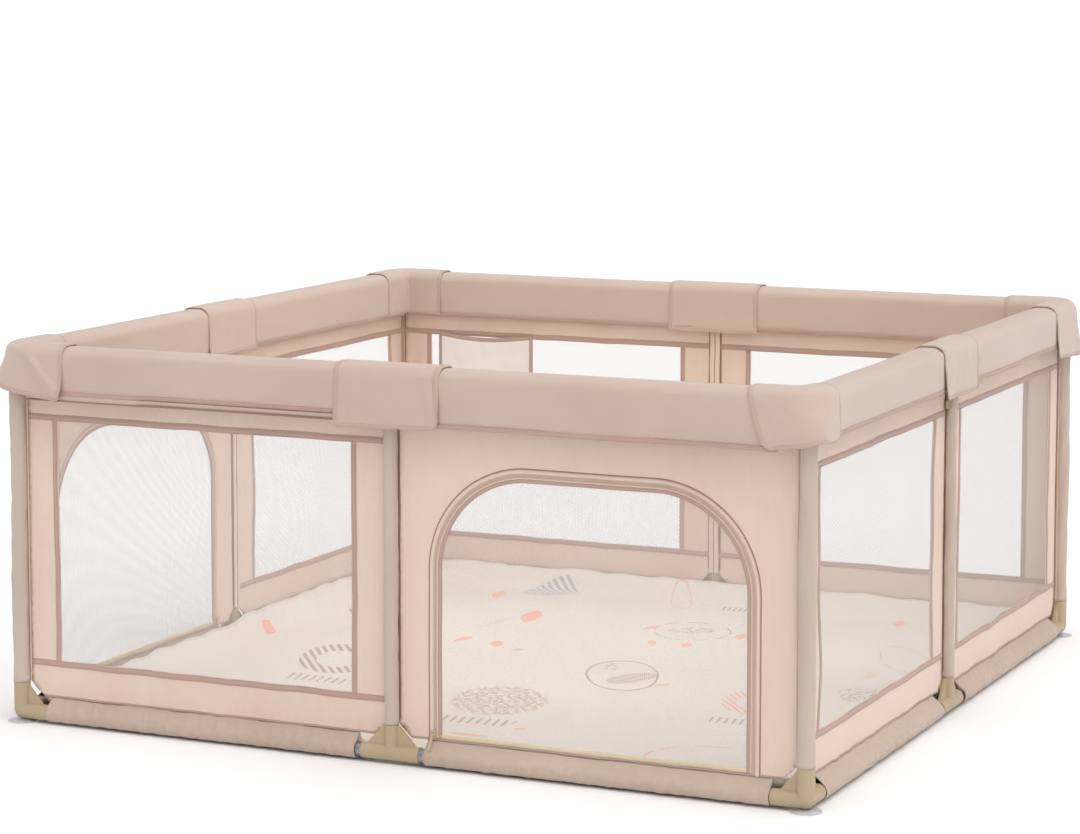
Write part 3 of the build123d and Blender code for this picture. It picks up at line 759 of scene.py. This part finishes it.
def door_flap(name, side, half, seed):
    """Net that fills a door, with its binding and the inner half of the zip."""
    body = f"door_flap_{name}"
    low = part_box(body)[0].z
    above = low + 3 * MM  # bands of the flap stop short of its fold
    surface = panel_surface(seed, DOOR_SLACK)

    def level(u, z):
        return PANEL_MID + (surface(u, z) - PANEL_MID) * ease(z, low, low + 0.12)

    net_line = arch(half, SURROUND - NET_UNDER, low, 16 * MM)
    flat, triangles = fill(net_line, [], 16 * MM)
    u, z = flat.T
    middle = half * (DOOR_NEAR + DOOR_FAR) / 2
    reach = (DOOR_FAR - DOOR_NEAR) / 2 - SURROUND
    rim = ease(reach - np.abs(u - middle), 0, 0.1) * ease(z, low, low + 0.1)
    rim = rim * ease(DOOR_TOP - z, SURROUND, 0.14)
    n = level(u, z) * (1 - rim) + rim * (PANEL_MID + 1.5 * MM * waves(u, z, seed + 9, 0.35))
    net = add_net(f"door_net_{name}", side, flat, n, triangles, body, body)
    inner = ZIP_INSET + ZIP_GAP
    foot = low + 6.5 * MM
    ends = (DOOR_NEAR + inner, foot), (DOOR_FAR - inner, foot)
    parts = [
        coil(f"zip_coil_inner_{name}", side, half, inner + 0.3 * MM, above, body, 1, level),
        arch_band(f"zip_tape_inner_{name}", side, half, 17.0 * MM, ZIP_INNER, level, above, body),
        arch_band(f"door_binding_{name}", side, half, 21.4 * MM, DOOR_BINDING, level, above, body),
        tape_on_side(f"door_foot_{name}", side, half, *ends, DOOR_FOOT, level, seed, body),
    ]


# ------------------------------------------------------------ sleeves
SLEEVE_CLOTH = 0.9 * MM
SEAM_STEPS = 6  # points on each flank between the tube and the seam


def post_sleeve(name, side, u, radius, drop, inward, seed):
    """Fabric tube on a post, with twisting creases and a facing over its inner side."""
    low, top = POST_SLEEVE_Z
    low -= drop  # the tube sags down to the connector
    z = np.linspace(low, top, 90)[:, None]
    turn = np.linspace(0, TURN, 32, endpoint=False)[None, :]
    round_u, round_n = np.cos(turn), np.sin(turn)
    twist = waves(z + 0.02 * turn, round_u * 0.03 + round_n * 0.02, seed, 0.05)
    slow = waves(z, round_u * 0.1 + round_n * 0.07, seed + 1, 0.2)
    end = np.minimum(ease(z, low, low + 0.012), ease(top - z, 0, 0.012))
    creases = (0.35 * MM * twist + 0.5 * MM * slow) * (0.4 + 0.6 * end)
    grown = radius + 0.3 * MM + creases + 0.6 * MM * (1 - end)
    grid = place(side, u + grown * round_u, grown * round_n, z)
    piece = loft(name, grid, SLEEVE, closed=True)
    thicken(piece, SLEEVE_CLOTH)
    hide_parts("post_sleeves")
    inward = unit(inward)
    across = np.cross(UP, inward)
    height = np.linspace(low + 2 * MM, top - 2 * MM, 60)[:, None]
    drift = 0.5 * MM * waves(height, 0, seed + 2, 0.1)
    line = place(side, u, 0, height)[:, 0] + inward * (radius + 0.6 * MM) + drift * across
    facing = tape_kind(2 * radius / MM - 1, 2, PANEL, "panel_fabric")
    trims = [
        ribbon(f"{name}_facing", line, across, inward, facing),
        ribbon(f"{name}_facing_seam", line + 1 * MM * inward, across, inward, FACING_SEAM),
    ]


def teardrop():
    """Section of a rail sleeve about its tube: n and z of its points, and the lean of its seam."""
    seam = np.array([[PANEL_MID], [PANEL_Z[0] - 0.5 * MM - RAIL_Z]])
    lean = math.atan2(seam[0, 0], seam[1, 0])
    open_angle = math.acos(RAIL_SLEEVE_R / math.hypot(seam[0, 0], seam[1, 0]))
    turn = np.linspace(lean + open_angle, lean + TURN - open_angle, 30)
    ring = RAIL_SLEEVE_R * np.stack([np.sin(turn), np.cos(turn)])
    steps = np.linspace(0, 1, SEAM_STEPS, endpoint=False)
    first = seam + (ring[:, :1] - seam) * steps
    last = seam + (ring[:, -1:] - seam) * steps
    return np.concatenate([first, ring, last[:, ::-1]], axis=1), lean


def rail_sleeve(name, side, half, seed):
    """Fabric round a bottom rail, drawn up to a seam under the side fabric."""
    start, end = SLEEVE_MID_END, HALF - SLEEVE_CORNER_END
    u = np.linspace(start, end, 190)[:, None]
    profile, lean = teardrop()
    profile_n, profile_z = profile[:, None]
    out = unit(np.stack([profile_n, profile_z], axis=-1))
    around = np.linspace(0, 0.1, profile_n.shape[1])[None, :]
    gathers = waves(u, around * 0.35, seed, 0.03)
    slow = waves(u, around * 2, seed + 1, 0.15)
    hold = ease(u, start, start + 0.015) * ease(end - u, 0, 0.015)
    pleats = waves(u + around * 0.4, around * 0.3, seed + 2, 0.018)
    lift = (1.1 * gathers + 1.0 * pleats + 0.3 * slow) * MM * (0.3 + 0.7 * hold) + 0.4 * MM * (1 - hold)
    lift = lift * (0.25 + 0.75 * ease(profile_z, -RAIL_SLEEVE_R, 0))
    lift = np.maximum(lift + 1.1 * MM, 0.5 * MM)
    if (side, half) in DOORS.values():
        lift = lift * (1 - 0.85 * ease(profile_z, 2 * MM, 12 * MM))  # flat where the door folds over it
    seam_hold = np.minimum(1, np.minimum(around, 0.1 - around) / 0.012)
    lift = lift * seam_hold
    n = profile_n + out[..., 0] * lift
    z = np.maximum(RAIL_Z + profile_z + out[..., 1] * lift, 2.2 * MM)
    # the end beside the tee is gathered round the tube
    reach = np.hypot(profile_n, profile_z)
    shut = np.maximum(np.cos(np.arctan2(profile_n, profile_z) - lean) * reach, RAIL_R)
    flank = np.ones(reach.shape, bool)
    flank[:, SEAM_STEPS:-SEAM_STEPS] = False
    tight_n = np.where(flank, shut * math.sin(lean), profile_n * RAIL_R / reach)
    tight_z = np.where(flank, shut * math.cos(lean), profile_z * RAIL_R / reach)
    n = np.concatenate([tight_n, n])
    z = np.concatenate([RAIL_Z + tight_z, z])
    u = np.concatenate([u[:1] + 2 * MM, u])
    piece = loft(name, place(side, half * u, n, z), RAIL_CLOTH)
    thicken(piece, SLEEVE_CLOTH)
    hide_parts("bottom_rail_sleeves")


# which half of a side its cover zip is on
COVER_ZIPS = {"front": 1, "right": -1, "back": 1, "left": -1}


def cover_zip(side, half, seed):
    """Coil zip beside a middle post, which joins the two panels of a side; its dark brown coil is partly
    painted shade of the slit there. Returns the place of its top.
    """
    low, top = POST_SLEEVE_Z[0] + 8 * MM, POST_SLEEVE_Z[1] - 10 * MM
    z = np.arange(low, top, 2.2 * MM)
    zigzag = np.where(np.arange(len(z)) % 2 == 0, 1.0, -1.0)
    u = half * (EDGE_MID + 2 * MM) + 1.2 * MM * zigzag + 0.7 * MM * waves(z, 0, seed, 0.07)
    centre = place(side, u, PANEL_MID + 2.4 * MM, z)
    ribbon(f"cover_zip_{side}", centre, ALONG[side], OUTWARD[side], COVER_COIL)
    return u[-1], top


def cover_slider(side, u, z):
    """Slider and hanging pull at the top of a cover zip."""
    height = np.array([0, 0.6, 2, 8, 14, 16, 16.6])[:, None] * MM - 8 * MM
    size = np.array([0.1, 0.7, 0.95, 1.0, 0.9, 0.6, 0.1])[:, None]
    turn = np.linspace(0, TURN, 20, endpoint=False)[None, :]
    n = PANEL_MID + 7 * MM + 4 * MM * size * np.sin(turn)
    body = place(side, u + 5 * MM * size * np.cos(turn), n, z + height)
    loft(f"cover_slider_{side}", body, ZIP_METAL, closed=True, capped=True)
    drop = np.linspace(0, 1, 8)
    n = PANEL_MID + (12 + 3 * np.sin(math.pi * drop)) * MM
    centre = place(side, u - 12 * MM * drop, n, z - 22 * MM * drop)
    ribbon(f"cover_pull_{side}", centre, ALONG[side], OUTWARD[side], COVER_PULL)


# ------------------------------------------------------------ padded rails
def saddle(half_width, top, radius, low_out, low_in, count):
    """Even points of a hood over the rail, from the outer hem, over the top, to the inner hem."""
    turn = np.linspace(0, math.pi / 2, 12)
    outer = np.stack([half_width - radius + radius * np.cos(turn), top - radius + radius * np.sin(turn)], -1)
    inner = np.stack([-outer[::-1, 0], outer[::-1, 1]], -1)
    line = np.concatenate([[(half_width, low_out)], outer, inner, [(-half_width, low_in)]])
    along = np.concatenate([[0], np.cumsum(np.linalg.norm(np.diff(line, axis=0), axis=1))])
    at = np.linspace(0, along[-1], count)
    return np.stack([np.interp(at, along, line[:, 0]), np.interp(at, along, line[:, 1])], -1), along[-1]


def settle(piece, voxel, cap, pressure, seed):
    """Swells a closed mesh as stuffed cloth, and keeps the shape it takes."""
    remesh = piece.modifiers.new("remesh", "REMESH")
    remesh.mode = "VOXEL"
    remesh.voxel_size = voxel
    depsgraph = bpy.context.evaluated_depsgraph_get()
    fine = bpy.data.meshes.new_from_object(piece.evaluated_get(depsgraph))
    piece.modifiers.clear()
    piece.data = fine
    start = np.array([v.co for v in fine.vertices])
    rough = 0.35 * MM * waves(start[:, 0] + start[:, 1], start[:, 2] * 0.6, seed, 0.2)
    rough = rough + 0.12 * MM * waves(start[:, 0] + start[:, 1], start[:, 2] * 0.5, seed + 1, 0.03)
    normals = np.array([v.normal for v in fine.vertices])
    fine.vertices.foreach_set("co", (start + normals * rough[:, None]).ravel())
    cloth = piece.modifiers.new("cloth", "CLOTH")
    cloth.settings.quality = 4
    cloth.settings.use_pressure = True
    cloth.settings.uniform_pressure_force = pressure
    cloth.settings.effector_weights.gravity = 0
    cloth.settings.tension_stiffness = 25
    cloth.settings.compression_stiffness = 25
    cloth.settings.bending_stiffness = 0.8
    cloth.collision_settings.use_collision = False
    for step in range(1, 21):
        bpy.context.scene.frame_set(step)
    depsgraph = bpy.context.evaluated_depsgraph_get()
    evaluated = piece.evaluated_get(depsgraph)
    moved = np.array([v.co for v in evaluated.data.vertices])
    piece.modifiers.clear()
    shift = moved - start
    length = np.linalg.norm(shift, axis=1, keepdims=True)
    shift = shift * np.minimum(1, cap / np.maximum(length, 1e-9))
    piece.data.vertices.foreach_set("co", (start + shift).ravel())
    bpy.context.scene.frame_set(1)
    piece.data.update()
    piece.data.shade_smooth()


def smoothed(points):
    """A running mean over five points of a line."""
    padded = np.pad(points, ((2, 2), (0, 0)), mode="edge")
    return np.stack([np.convolve(column, np.ones(5) / 5, "valid") for column in padded.T], axis=-1)


def hem_tape(name, surface, guess, kind, drop):
    """A level tape laid on a surface along the points of it that are nearest to a line."""
    faces = [tuple(face.vertices) for face in surface.data.polygons]
    tree = BVHTree.FromPolygons([v.co for v in surface.data.vertices], faces)
    found = [tree.find_nearest(Vector(p)) for p in guess]
    centre = smoothed(np.array([hit[0] for hit in found]))
    normal = unit(smoothed(np.array([hit[1] for hit in found])))
    across = unit(UP - normal * (normal @ UP)[:, None])
    ribbon(name, centre - drop * UP, across, normal, kind)


# heights of the outer and inner hem of each padded cover: they don't all hang alike
PAD_HEMS = {
    ("front", -1): (602 * MM, 598 * MM),
    ("front", 1): (588 * MM, 598 * MM),
    "right": (605 * MM, 598 * MM),
    "back": (598 * MM, 593 * MM),
    "left": (598 * MM, 593 * MM),
}


def top_pad(name, side, half, seed):
    """Foam-filled cover over one half of a top rail."""
    start, end = PAD_MID_END, PAD_U[1]
    low_out, low_in = PAD_HEMS.get((side, half), PAD_HEMS.get(side))
    top = PAD_Z[1]
    slim = 0.4 * MM
    outer, _ = saddle(PAD_HALF - slim, top - slim, PAD_RADIUS, low_out, low_in, 48)
    channel = 17 * MM
    inner, _ = saddle(channel, top - 10.5 * MM, 8 * MM, low_out, low_in, 38)
    section = np.concatenate([outer, inner[::-1]])
    u = np.linspace(start, end, 100)[:, None]
    sway = 0.6 * MM * waves(u, 0, seed + 4, 0.4)
    grid = place(side, half * u, section[None, :, 0] + sway, section[None, :, 1])
    piece = loft(name, grid, PAD, closed=True, capped=True)
    settle(piece, 5 * MM, 1.2 * MM, 8.0, seed)
    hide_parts(f"top_pad_{side}")
    line = np.linspace(start + 4 * MM, end - 4 * MM, 90)
    for label, way, low in (("out", 1, low_out), ("in", -1, low_in)):
        guess = place(side, half * line, way * PAD_HALF, low + 5 * MM)
        hem_tape(f"{name}_hem_{label}", piece, guess, PAD_HEM, 2 * MM)
        if label == "out" and (side, half) == ("front", -1):
            hem_tape(f"{name}_second_hem", piece, guess, SECOND_HEM, 10 * MM)
            hem_tape(f"{name}_second_edge", piece, guess, SECOND_EDGE, 15 * MM)


# ------------------------------------------------------------ wraps over the rail joints
WRAP_GAP = 1.7 * MM  # from the pad to the middle of the wrap's cloth
WRAP_CLOTH = 1.3 * MM
WRAP_LOW_OUT = 580 * MM
WRAP_LOW_IN = 584 * MM


def wrap_style(hems=(0, 0, 0), inner=0, lips=(1, 1), bands=(6, 6), folds=(), slant=(0, 0)):
    """How one wrap hangs, in mm.

    hems: rise of the outer hem at the first end, the middle or corner, and the last end.
    inner: rise of the inner hem.
    lips: how far the lower part of each end stands off. bands: width of the band along each end.
    folds: (place along the wrap at the top, at the hem, height, width). slant: shift of each end at the hem.
    """
    return {"hems": hems, "inner": inner, "lips": lips, "bands": bands, "folds": folds, "slant": slant}


WRAP_STYLES = {
    "front": wrap_style((0, 3, 6), 0, (1, 4), (11, 12), ((45, 12, 1.4, 7), (170, 188, 1.6, 7))),
    "right": wrap_style((13, 12, 12), 0, (4, 1), (4, 4), ((120, 160, 1.0, 12),)),
    "back": wrap_style((4, 0, 2), 5, (1, 2), (9, 9)),
    "left": wrap_style((4, 0, 2), 8, (2, 1), (5, 5)),
    "front_left": wrap_style(
        (12, 34, 10), 6, (1, 4), (5, 8), ((128, 228, 6.5, 8), (104, 200, -2.5, 12), (122, 148, 2.0, 9))
    ),
    "front_right": wrap_style((10, 24, 19), 0, (1, 1), (10, 4), ((20, 50, 1.2, 12),), (17, 0)),
    "back_right": wrap_style((6, -6, 6), 8, (4, 1), (4, 8), ((150, 175, 3.0, 12), (185, 190, 2.0, 10))),
    "back_left": wrap_style(
        (6, 8, 6), 14, (2, 2), (7, 7), ((96, 96, 3.0, 8), (130, 130, 3.0, 8), (112, 112, -2.5, 8))
    ),
}


WRAP_SIZES = (PAD_HALF + WRAP_GAP, PAD_Z[1] + WRAP_GAP, PAD_RADIUS + WRAP_GAP)
WRAP_LINE, WRAP_GIRTH = saddle(*WRAP_SIZES, WRAP_LOW_OUT, WRAP_LOW_IN, 60)
# axis across the edge, place of the edge, and place of a line a little way in
EDGES = {
    "first column": (1, 0, 2),
    "last column": (1, -1, -3),
    "first row": (0, 0, 2),
    "last row": (0, -1, -3),
}


def grid_normals(grid):
    return unit(np.cross(np.gradient(grid, axis=0), np.gradient(grid, axis=1)))


def edge_tape(name, grid, edge, kind, body="frame"):
    """A folded tape over one edge of a cloth that is a grid of points."""
    axis, at, inner = EDGES[edge]
    line = grid.take(at, axis)
    normal = grid_normals(grid).take(at, axis)
    across = unit(grid.take(inner, axis) - line)
    across = unit(across - normal * np.sum(across * normal, axis=-1, keepdims=True))
    centre = line + across * (kind[0] / 2 - 0.8 * MM)
    return ribbon(name, centre, across, normal, kind, body)


def finish_wrap(name, node, grid, bands):
    """The cloth of a wrap with its bound hems and end bands."""
    piece = loft(name, grid, PAD, node)
    thicken(piece, WRAP_CLOTH)
    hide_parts(node)
    widths = {"hem_out": 8, "hem_in": 8, "end_a": bands[0], "end_b": bands[1]}
    tapes = [
        edge_tape(f"{name}_{label}", grid, edge, tape_kind(width, 2.3, WRAP_EDGE), node)
        for (label, width), edge in zip(widths.items(), EDGES)
    ]


def wrap_relief(s, style, middle, seed):
    """Lift off the pad, rise of the hem, and shift along the wrap, for places s along it."""
    length = s[-1, 0]
    t = np.linspace(0, WRAP_GIRTH, len(WRAP_LINE))[None, :]
    outside = WRAP_LINE[None, :, 0] > 0
    reach = (PAD_Z[1] - WRAP_LINE[None, :, 1]) / (PAD_Z[1] - WRAP_LOW_OUT)
    down_both = np.clip(reach, 0, 1)
    down = np.where(outside, down_both, 0)
    lower = ease(down, 0.35, 1.0)
    first, last = np.exp(-s / (10 * MM)), np.exp((s - length) / (10 * MM))
    hanging = ease(down_both, 0.1, 0.5)
    lift = 0.2 + hanging * (0.5 + 0.35 * waves(s, t, seed, 0.05) + 0.8 * waves(s, t, seed + 1, 0.14))
    lift = np.maximum(lift, 0.1) + lower * (style["lips"][0] * first + style["lips"][1] * last)
    lift = lift - 1.3 * (1 - hanging) * (first + last)
    lift = lift + lower * 1.2 * (1 + 0.8 * waves(s, 0, seed + 2, 0.1))
    for top, hem, height, width in style["folds"]:
        place_along = (top + (hem - top) * down) * MM
        lift = lift + height * ease(down, 0.03, 0.35) * np.exp(-(((s - place_along) / (width * MM)) ** 2))
    hem = np.interp(s[:, 0], [0, middle, length], style["hems"])[:, None]
    rise = np.where(outside, down * hem, down_both * style["inner"]) + down_both * waves(s, 0, seed + 3, 0.12)
    share = s / length
    shift = down * (style["slant"][0] * (1 - share) ** 2 + style["slant"][1] * share**2)
    # the lower corners are rounded
    corner = 12 * MM
    into = np.clip(1 - t / corner, 0, 1) ** 2 * corner * 0.6
    by_first, by_last = np.clip(1 - s / (2 * corner), 0, 1), np.clip(1 - (length - s) / (2 * corner), 0, 1)
    shift = shift * MM + into * (by_first - by_last)
    return lift * MM, rise * MM, shift


def mid_wrap(side, seed):
    """Hook-and-loop wrap round the joint above a middle post."""
    name = f"mid_wrap_{side}"
    style = WRAP_STYLES[side]
    start, end = span(name, side)[0]
    s = np.linspace(0, end - start, 80)[:, None]
    lift, rise, shift = wrap_relief(s, style, s[-1, 0] / 2, seed)
    way = np.gradient(WRAP_LINE, axis=0)
    out = unit(np.stack([way[:, 1], -way[:, 0]], -1))
    n = WRAP_LINE[None, :, 0] + out[None, :, 0] * lift
    z = WRAP_LINE[None, :, 1] + out[None, :, 1] * lift + rise
    grid = place(side, start + s + shift, n, z)
    finish_wrap(f"wrap_{side}", name, grid, style["bands"])


def corner_path(offset, reach_a, reach_b, radius, counts):
    """Plan line of a corner wrap at one distance outwards from the rail line.

    It comes in along the ending side, turns round the corner, and leaves along the beginning side.
    Coordinates are (a, b): a along the ending side and b along the beginning side, both from the corner post.
    """
    straight_a, bend, straight_b = counts
    coming = np.linspace(-reach_a, offset - radius, straight_a, endpoint=False)
    first = np.stack([coming, np.full(straight_a, -offset)], -1)
    turn = np.linspace(-math.pi / 2, 0, bend)
    middle = np.stack([offset - radius + radius * np.cos(turn), -offset + radius + radius * np.sin(turn)], -1)
    leaving = np.linspace(-offset + radius, reach_b, straight_b + 1)[1:]
    last = np.stack([np.full(straight_b, offset), leaving], -1)
    return np.concatenate([first, middle, last])


def corner_wrap(corner, seed):
    """Wrap over a corner of the padded rails."""
    name = f"corner_wrap_{corner}"
    style = WRAP_STYLES[corner]
    side_a, side_b = CORNERS[corner]
    reach_a = HALF - span(name, side_a)[0][0]
    reach_b = span(name, side_b)[0][1] + HALF
    wide = PAD_HALF + WRAP_GAP
    counts = (34, 18, 34)
    plans = []
    for offset, height in WRAP_LINE:
        share = (offset + wide) / (2 * wide)
        up_share = (height - WRAP_LOW_OUT) / (PAD_Z[1] - WRAP_LOW_OUT)
        radius = 6 * MM + share * (18 * MM + 42 * MM * ease(up_share, 0, 0.9))
        plans.append(corner_path(offset, reach_a, reach_b, radius, counts))
    plan = np.stack(plans, axis=1)  # rows along the wrap, columns over the rail
    middle_line = plan[:, plan.shape[1] // 2]
    s = np.concatenate([[0], np.cumsum(np.linalg.norm(np.diff(middle_line, axis=0), axis=1))])[:, None]
    middle = s[counts[0] : counts[0] + counts[1]].mean()
    lift, rise, shift = wrap_relief(s, style, middle, seed)
    moved = s + shift
    for column in range(plan.shape[1]):
        for axis in (0, 1):
            plan[:, column, axis] = np.interp(moved[:, column], s[:, 0], plans[column][:, axis])
    corner_point = HALF * OUTWARD[side_a] + HALF * OUTWARD[side_b]
    height = WRAP_LINE[None, :, 1:]
    base = corner_point + plan[..., :1] * ALONG[side_a] + plan[..., 1:] * ALONG[side_b] + height * UP
    grid = base + grid_normals(base) * lift[..., None]
    grid[..., 2] += rise
    finish_wrap(f"wrap_{corner}", name, grid, style["bands"])


# ------------------------------------------------------------ mat and pocket
def floor_mat():
    """Padded mat whose border rides up against the rail sleeves."""
    low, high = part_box("floor_mat")
    half = high.x - 1 * MM
    radius = 50 * MM
    thick = 11 * MM
    turn = np.linspace(0, math.pi / 2, 9)
    corner = np.stack([half - radius + radius * np.cos(turn), half - radius + radius * np.sin(turn)], -1)
    outline = []
    for quarter in range(4):
        c, s = math.cos(quarter * math.pi / 2), math.sin(quarter * math.pi / 2)
        outline += [(x * c - y * s, x * s + y * c) for x, y in corner]
    flat, triangles = fill(outline, [], 17 * MM)
    x, y = flat[:, 0], flat[:, 1]
    reach = np.stack([np.abs(x), np.abs(y)], -1)
    past = np.maximum(reach - (half - radius), 0)
    inset = np.where((past > 0).all(1), radius - np.linalg.norm(past, axis=1), half - reach.max(1))
    rise = ease(-inset, -44 * MM, 3 * MM)
    swell = waves(x, y, 41, 0.35) * 1.0 * MM + waves(x, y, 42, 0.11) * 0.35 * MM
    edge_waves = rise * waves(x + y, x - y, 43, 0.12) * 1.6 * MM
    by_front_door = ease(x, -0.04, 0.03) * (y < -0.6)
    by_left_door = ease(-y, -0.04, 0.03) * (x < -0.6)
    border = high.z - thick - 3 * MM + 9 * MM * (1 - np.maximum(by_front_door, by_left_door))
    dip = np.exp(-((x / 0.075) ** 4)) * (y < -0.6)
    border = border * (1 - 0.85 * dip)
    z = np.maximum(thick + 1.2 * MM + swell * (1 - rise) + rise * border + edge_waves, thick)
    points = np.stack([x, y, z], -1)
    piece = add_piece("play_mat", points, triangles, MAT)
    thicken(piece, thick - 2 * MM, -1)
    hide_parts("floor_mat")


def storage_pocket():
    """Flat pouch of fine net with bound edges."""
    (near, far), (inner, outer), (low, top) = span("storage_pocket", "back")
    u = np.linspace(near, far, 44)[:, None]
    t = np.linspace(0, 1, 40)[None, :]
    share = (u - near) / (far - near)
    sag = 9 * MM * np.sin(math.pi * share) ** 1.2
    z = low + t * (top - sag - low)
    belly = np.sin(math.pi * share) ** 0.7 * (0.25 + 0.75 * np.sin(math.pi * (0.12 + 0.8 * t)) ** 0.8)
    depth = belly * (outer - inner - 2 * MM) * (1 + 0.12 * waves(u, z, 61, 0.09))
    n = outer - 1.5 * MM - depth + 0.6 * MM * waves(u, z, 62, 0.04) * np.minimum(1, depth / (6 * MM))
    grid = place("back", u + 0 * t, n, z)
    piece = loft("pocket_net", grid, POCKET)
    thicken(piece, 0.6 * MM)
    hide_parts("storage_pocket")
    tapes = [
        edge_tape("pocket_rim", grid, "last column", tape_kind(9, 2.6, BINDING)),
        edge_tape("pocket_foot", grid, "first column", tape_kind(7, 2.4, BINDING)),
        edge_tape("pocket_side_a", grid, "first row", tape_kind(8, 2.6, BINDING)),
        edge_tape("pocket_side_b", grid, "last row", tape_kind(8, 2.6, BINDING)),
    ]


# ------------------------------------------------------------ hard parts keep their CAD shape
def finish_cad_parts():
    finishes = {
        "bottom_corner_connector": (PLASTIC, "connector_plastic", 1.2 * MM),
        "bottom_tee_connector": (PLASTIC, "connector_plastic", 1.2 * MM),
        "top_corner_connectors": (PLASTIC, "connector_plastic", 0.8 * MM),
        "top_tee_connectors": (PLASTIC, "connector_plastic", 0.8 * MM),
        "bottom_rails": (STEEL, "tube_steel", 0),
        "top_rails": (STEEL, "tube_steel", 0),
        "corner_post": (STEEL, "tube_steel", 0),
        "mid_post": (STEEL, "tube_steel", 0),
        "zip_slider": (ZIP_METAL, "zip_metal", 0.4 * MM),
        "zip_pull": (ZIP_METAL, "zip_metal", 0.3 * MM),
        "suction_cup": (VINYL, "cup_vinyl", 0.3 * MM),
    }
    for node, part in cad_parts.items():
        for prefix, (material, slot, rounding) in finishes.items():
            if node.startswith(prefix):
                part.data.materials.clear()
                part.data.materials.append(material)
                if rounding:
                    bevel = part.modifiers.new("edges", "BEVEL")
                    bevel.width = rounding
                    bevel.segments = 3
                    bevel.limit_method = "ANGLE"
                    bevel.angle_limit = math.radians(35)
                    part.data.shade_smooth()
                    part.modifiers.new("normals", "WEIGHTED_NORMAL")


# ------------------------------------------------------------ stage, light and camera
AMBIENT = 0.62
BACKDROP = 1.02
FLOOR_HALF = 60.0
# name, strength, soft angle, tilt from straight down, turn about the vertical
SUNS = [("key", 1.55, 70, 14, 55), ("fill", 0.56, 100, 64, 66)]
INSIDE_GLOW = 3.2  # watts: warm light thrown back and forth between the beige walls


def build_floor():
    corners = [(x * FLOOR_HALF, y * FLOOR_HALF, 0) for x, y in ((-1, -1), (1, -1), (1, 1), (-1, 1))]
    mesh = bpy.data.meshes.new("floor")
    mesh.from_pydata(corners, [], [(0, 1, 2, 3)])
    g = Graph("pale_floor", roughness=0.9, specular_ior_level=0.1)
    g.colour(g.mix(g.noise(1.5), (0.93, 0.93, 0.93, 1), (0.95, 0.95, 0.95, 1)))
    mesh.materials.append(g.material)
    link("floor", mesh)


def build_world():
    """A white backdrop that lights the scene less than it shows."""
    world = bpy.data.worlds.new("studio")
    world.use_nodes = True
    tree = world.node_tree
    background = tree.nodes["Background"]
    background.inputs["Color"].default_value = (1.0, 1.0, 1.0, 1)
    seen = tree.nodes.new("ShaderNodeLightPath")
    level = tree.nodes.new("ShaderNodeMapRange")
    level.inputs["To Min"].default_value = AMBIENT
    level.inputs["To Max"].default_value = BACKDROP
    tree.links.new(seen.outputs["Is Camera Ray"], level.inputs["Value"])
    tree.links.new(level.outputs[0], background.inputs["Strength"])
    bpy.context.scene.world = world


def build_lights():
    for name, strength, angle, tilt, turn in SUNS:
        light = bpy.data.lights.new(name, "SUN")
        light.energy = strength
        light.angle = math.radians(angle)
        link(name, light).rotation_euler = (math.radians(tilt), 0, math.radians(turn))
    glow = bpy.data.lights.new("inside_glow", "POINT")
    glow.energy = INSIDE_GLOW
    glow.color = (1.0, 0.86, 0.74)
    glow.shadow_soft_size = 0.28
    holder = link("inside_glow", glow)
    holder.location = (0, 0, 0.82)
    holder.visible_camera = False


CAMERA_PLACE = (2.4677, -5.5062, 1.3602)
CAMERA_YAW = -24.717
CAMERA_PITCH = 6.0
CAMERA_LENS = 106.56  # mm on a 36 mm sensor
CAMERA_SHIFT = -0.109


def build_camera():
    camera = bpy.data.cameras.new("camera")
    camera.sensor_width = 36
    camera.lens = CAMERA_LENS
    camera.shift_y = CAMERA_SHIFT
    camera.clip_end = 200
    holder = link("camera", camera)
    holder.location = CAMERA_PLACE
    holder.rotation_euler = (math.radians(90 - CAMERA_PITCH), 0, math.radians(-CAMERA_YAW))
    bpy.context.scene.camera = holder


# ------------------------------------------------------------ the whole scene
for number, (window, (window_side_name, window_half)) in enumerate(WINDOWS.items()):
    window_side(window, window_side_name, window_half, 100 + 10 * number)
for number, (door, (door_side_name, door_half)) in enumerate(DOORS.items()):
    door_frame = door_surround(door, door_side_name, door_half, 200 + 20 * number)
    door_flap(door, door_side_name, door_half, 200 + 20 * number)
for side_name, zip_half in COVER_ZIPS.items():
    zip_u, zip_z = cover_zip(side_name, zip_half, 350)
    if side_name == "right":
        cover_slider(side_name, zip_u - 4 * MM, zip_z - 30 * MM)
for number, side_name in enumerate(SIDES):
    mid_wrap(side_name, 300 + 10 * number)
    mid_inward = -OUTWARD[side_name]
    post_sleeve(f"mid_sleeve_{side_name}", side_name, 0.0, 11.5 * MM, 6.2 * MM, mid_inward, 400 + 10 * number)
    for part_half, part_name in ((-1, "a"), (1, "b")):
        part = f"{side_name}_{part_name}"
        rail_sleeve(f"rail_sleeve_{part}", side_name, part_half, 500 + 10 * number + part_half)
        top_pad(f"pad_{part}", side_name, part_half, 600 + 10 * number + part_half)
for number, (corner_name, (ending_side, starting_side)) in enumerate(CORNERS.items()):
    corner_inward = -OUTWARD[ending_side] - OUTWARD[starting_side]
    post = f"corner_sleeve_{corner_name}"
    post_sleeve(post, ending_side, HALF, 14 * MM, 2.5 * MM, corner_inward, 450 + 10 * number)
    corner_wrap(corner_name, 700 + 10 * number)
floor_mat()
storage_pocket()
finish_cad_parts()
build_floor()
build_world()
build_lights()
build_camera()
bpy.context.scene.view_settings.view_transform = "Standard"
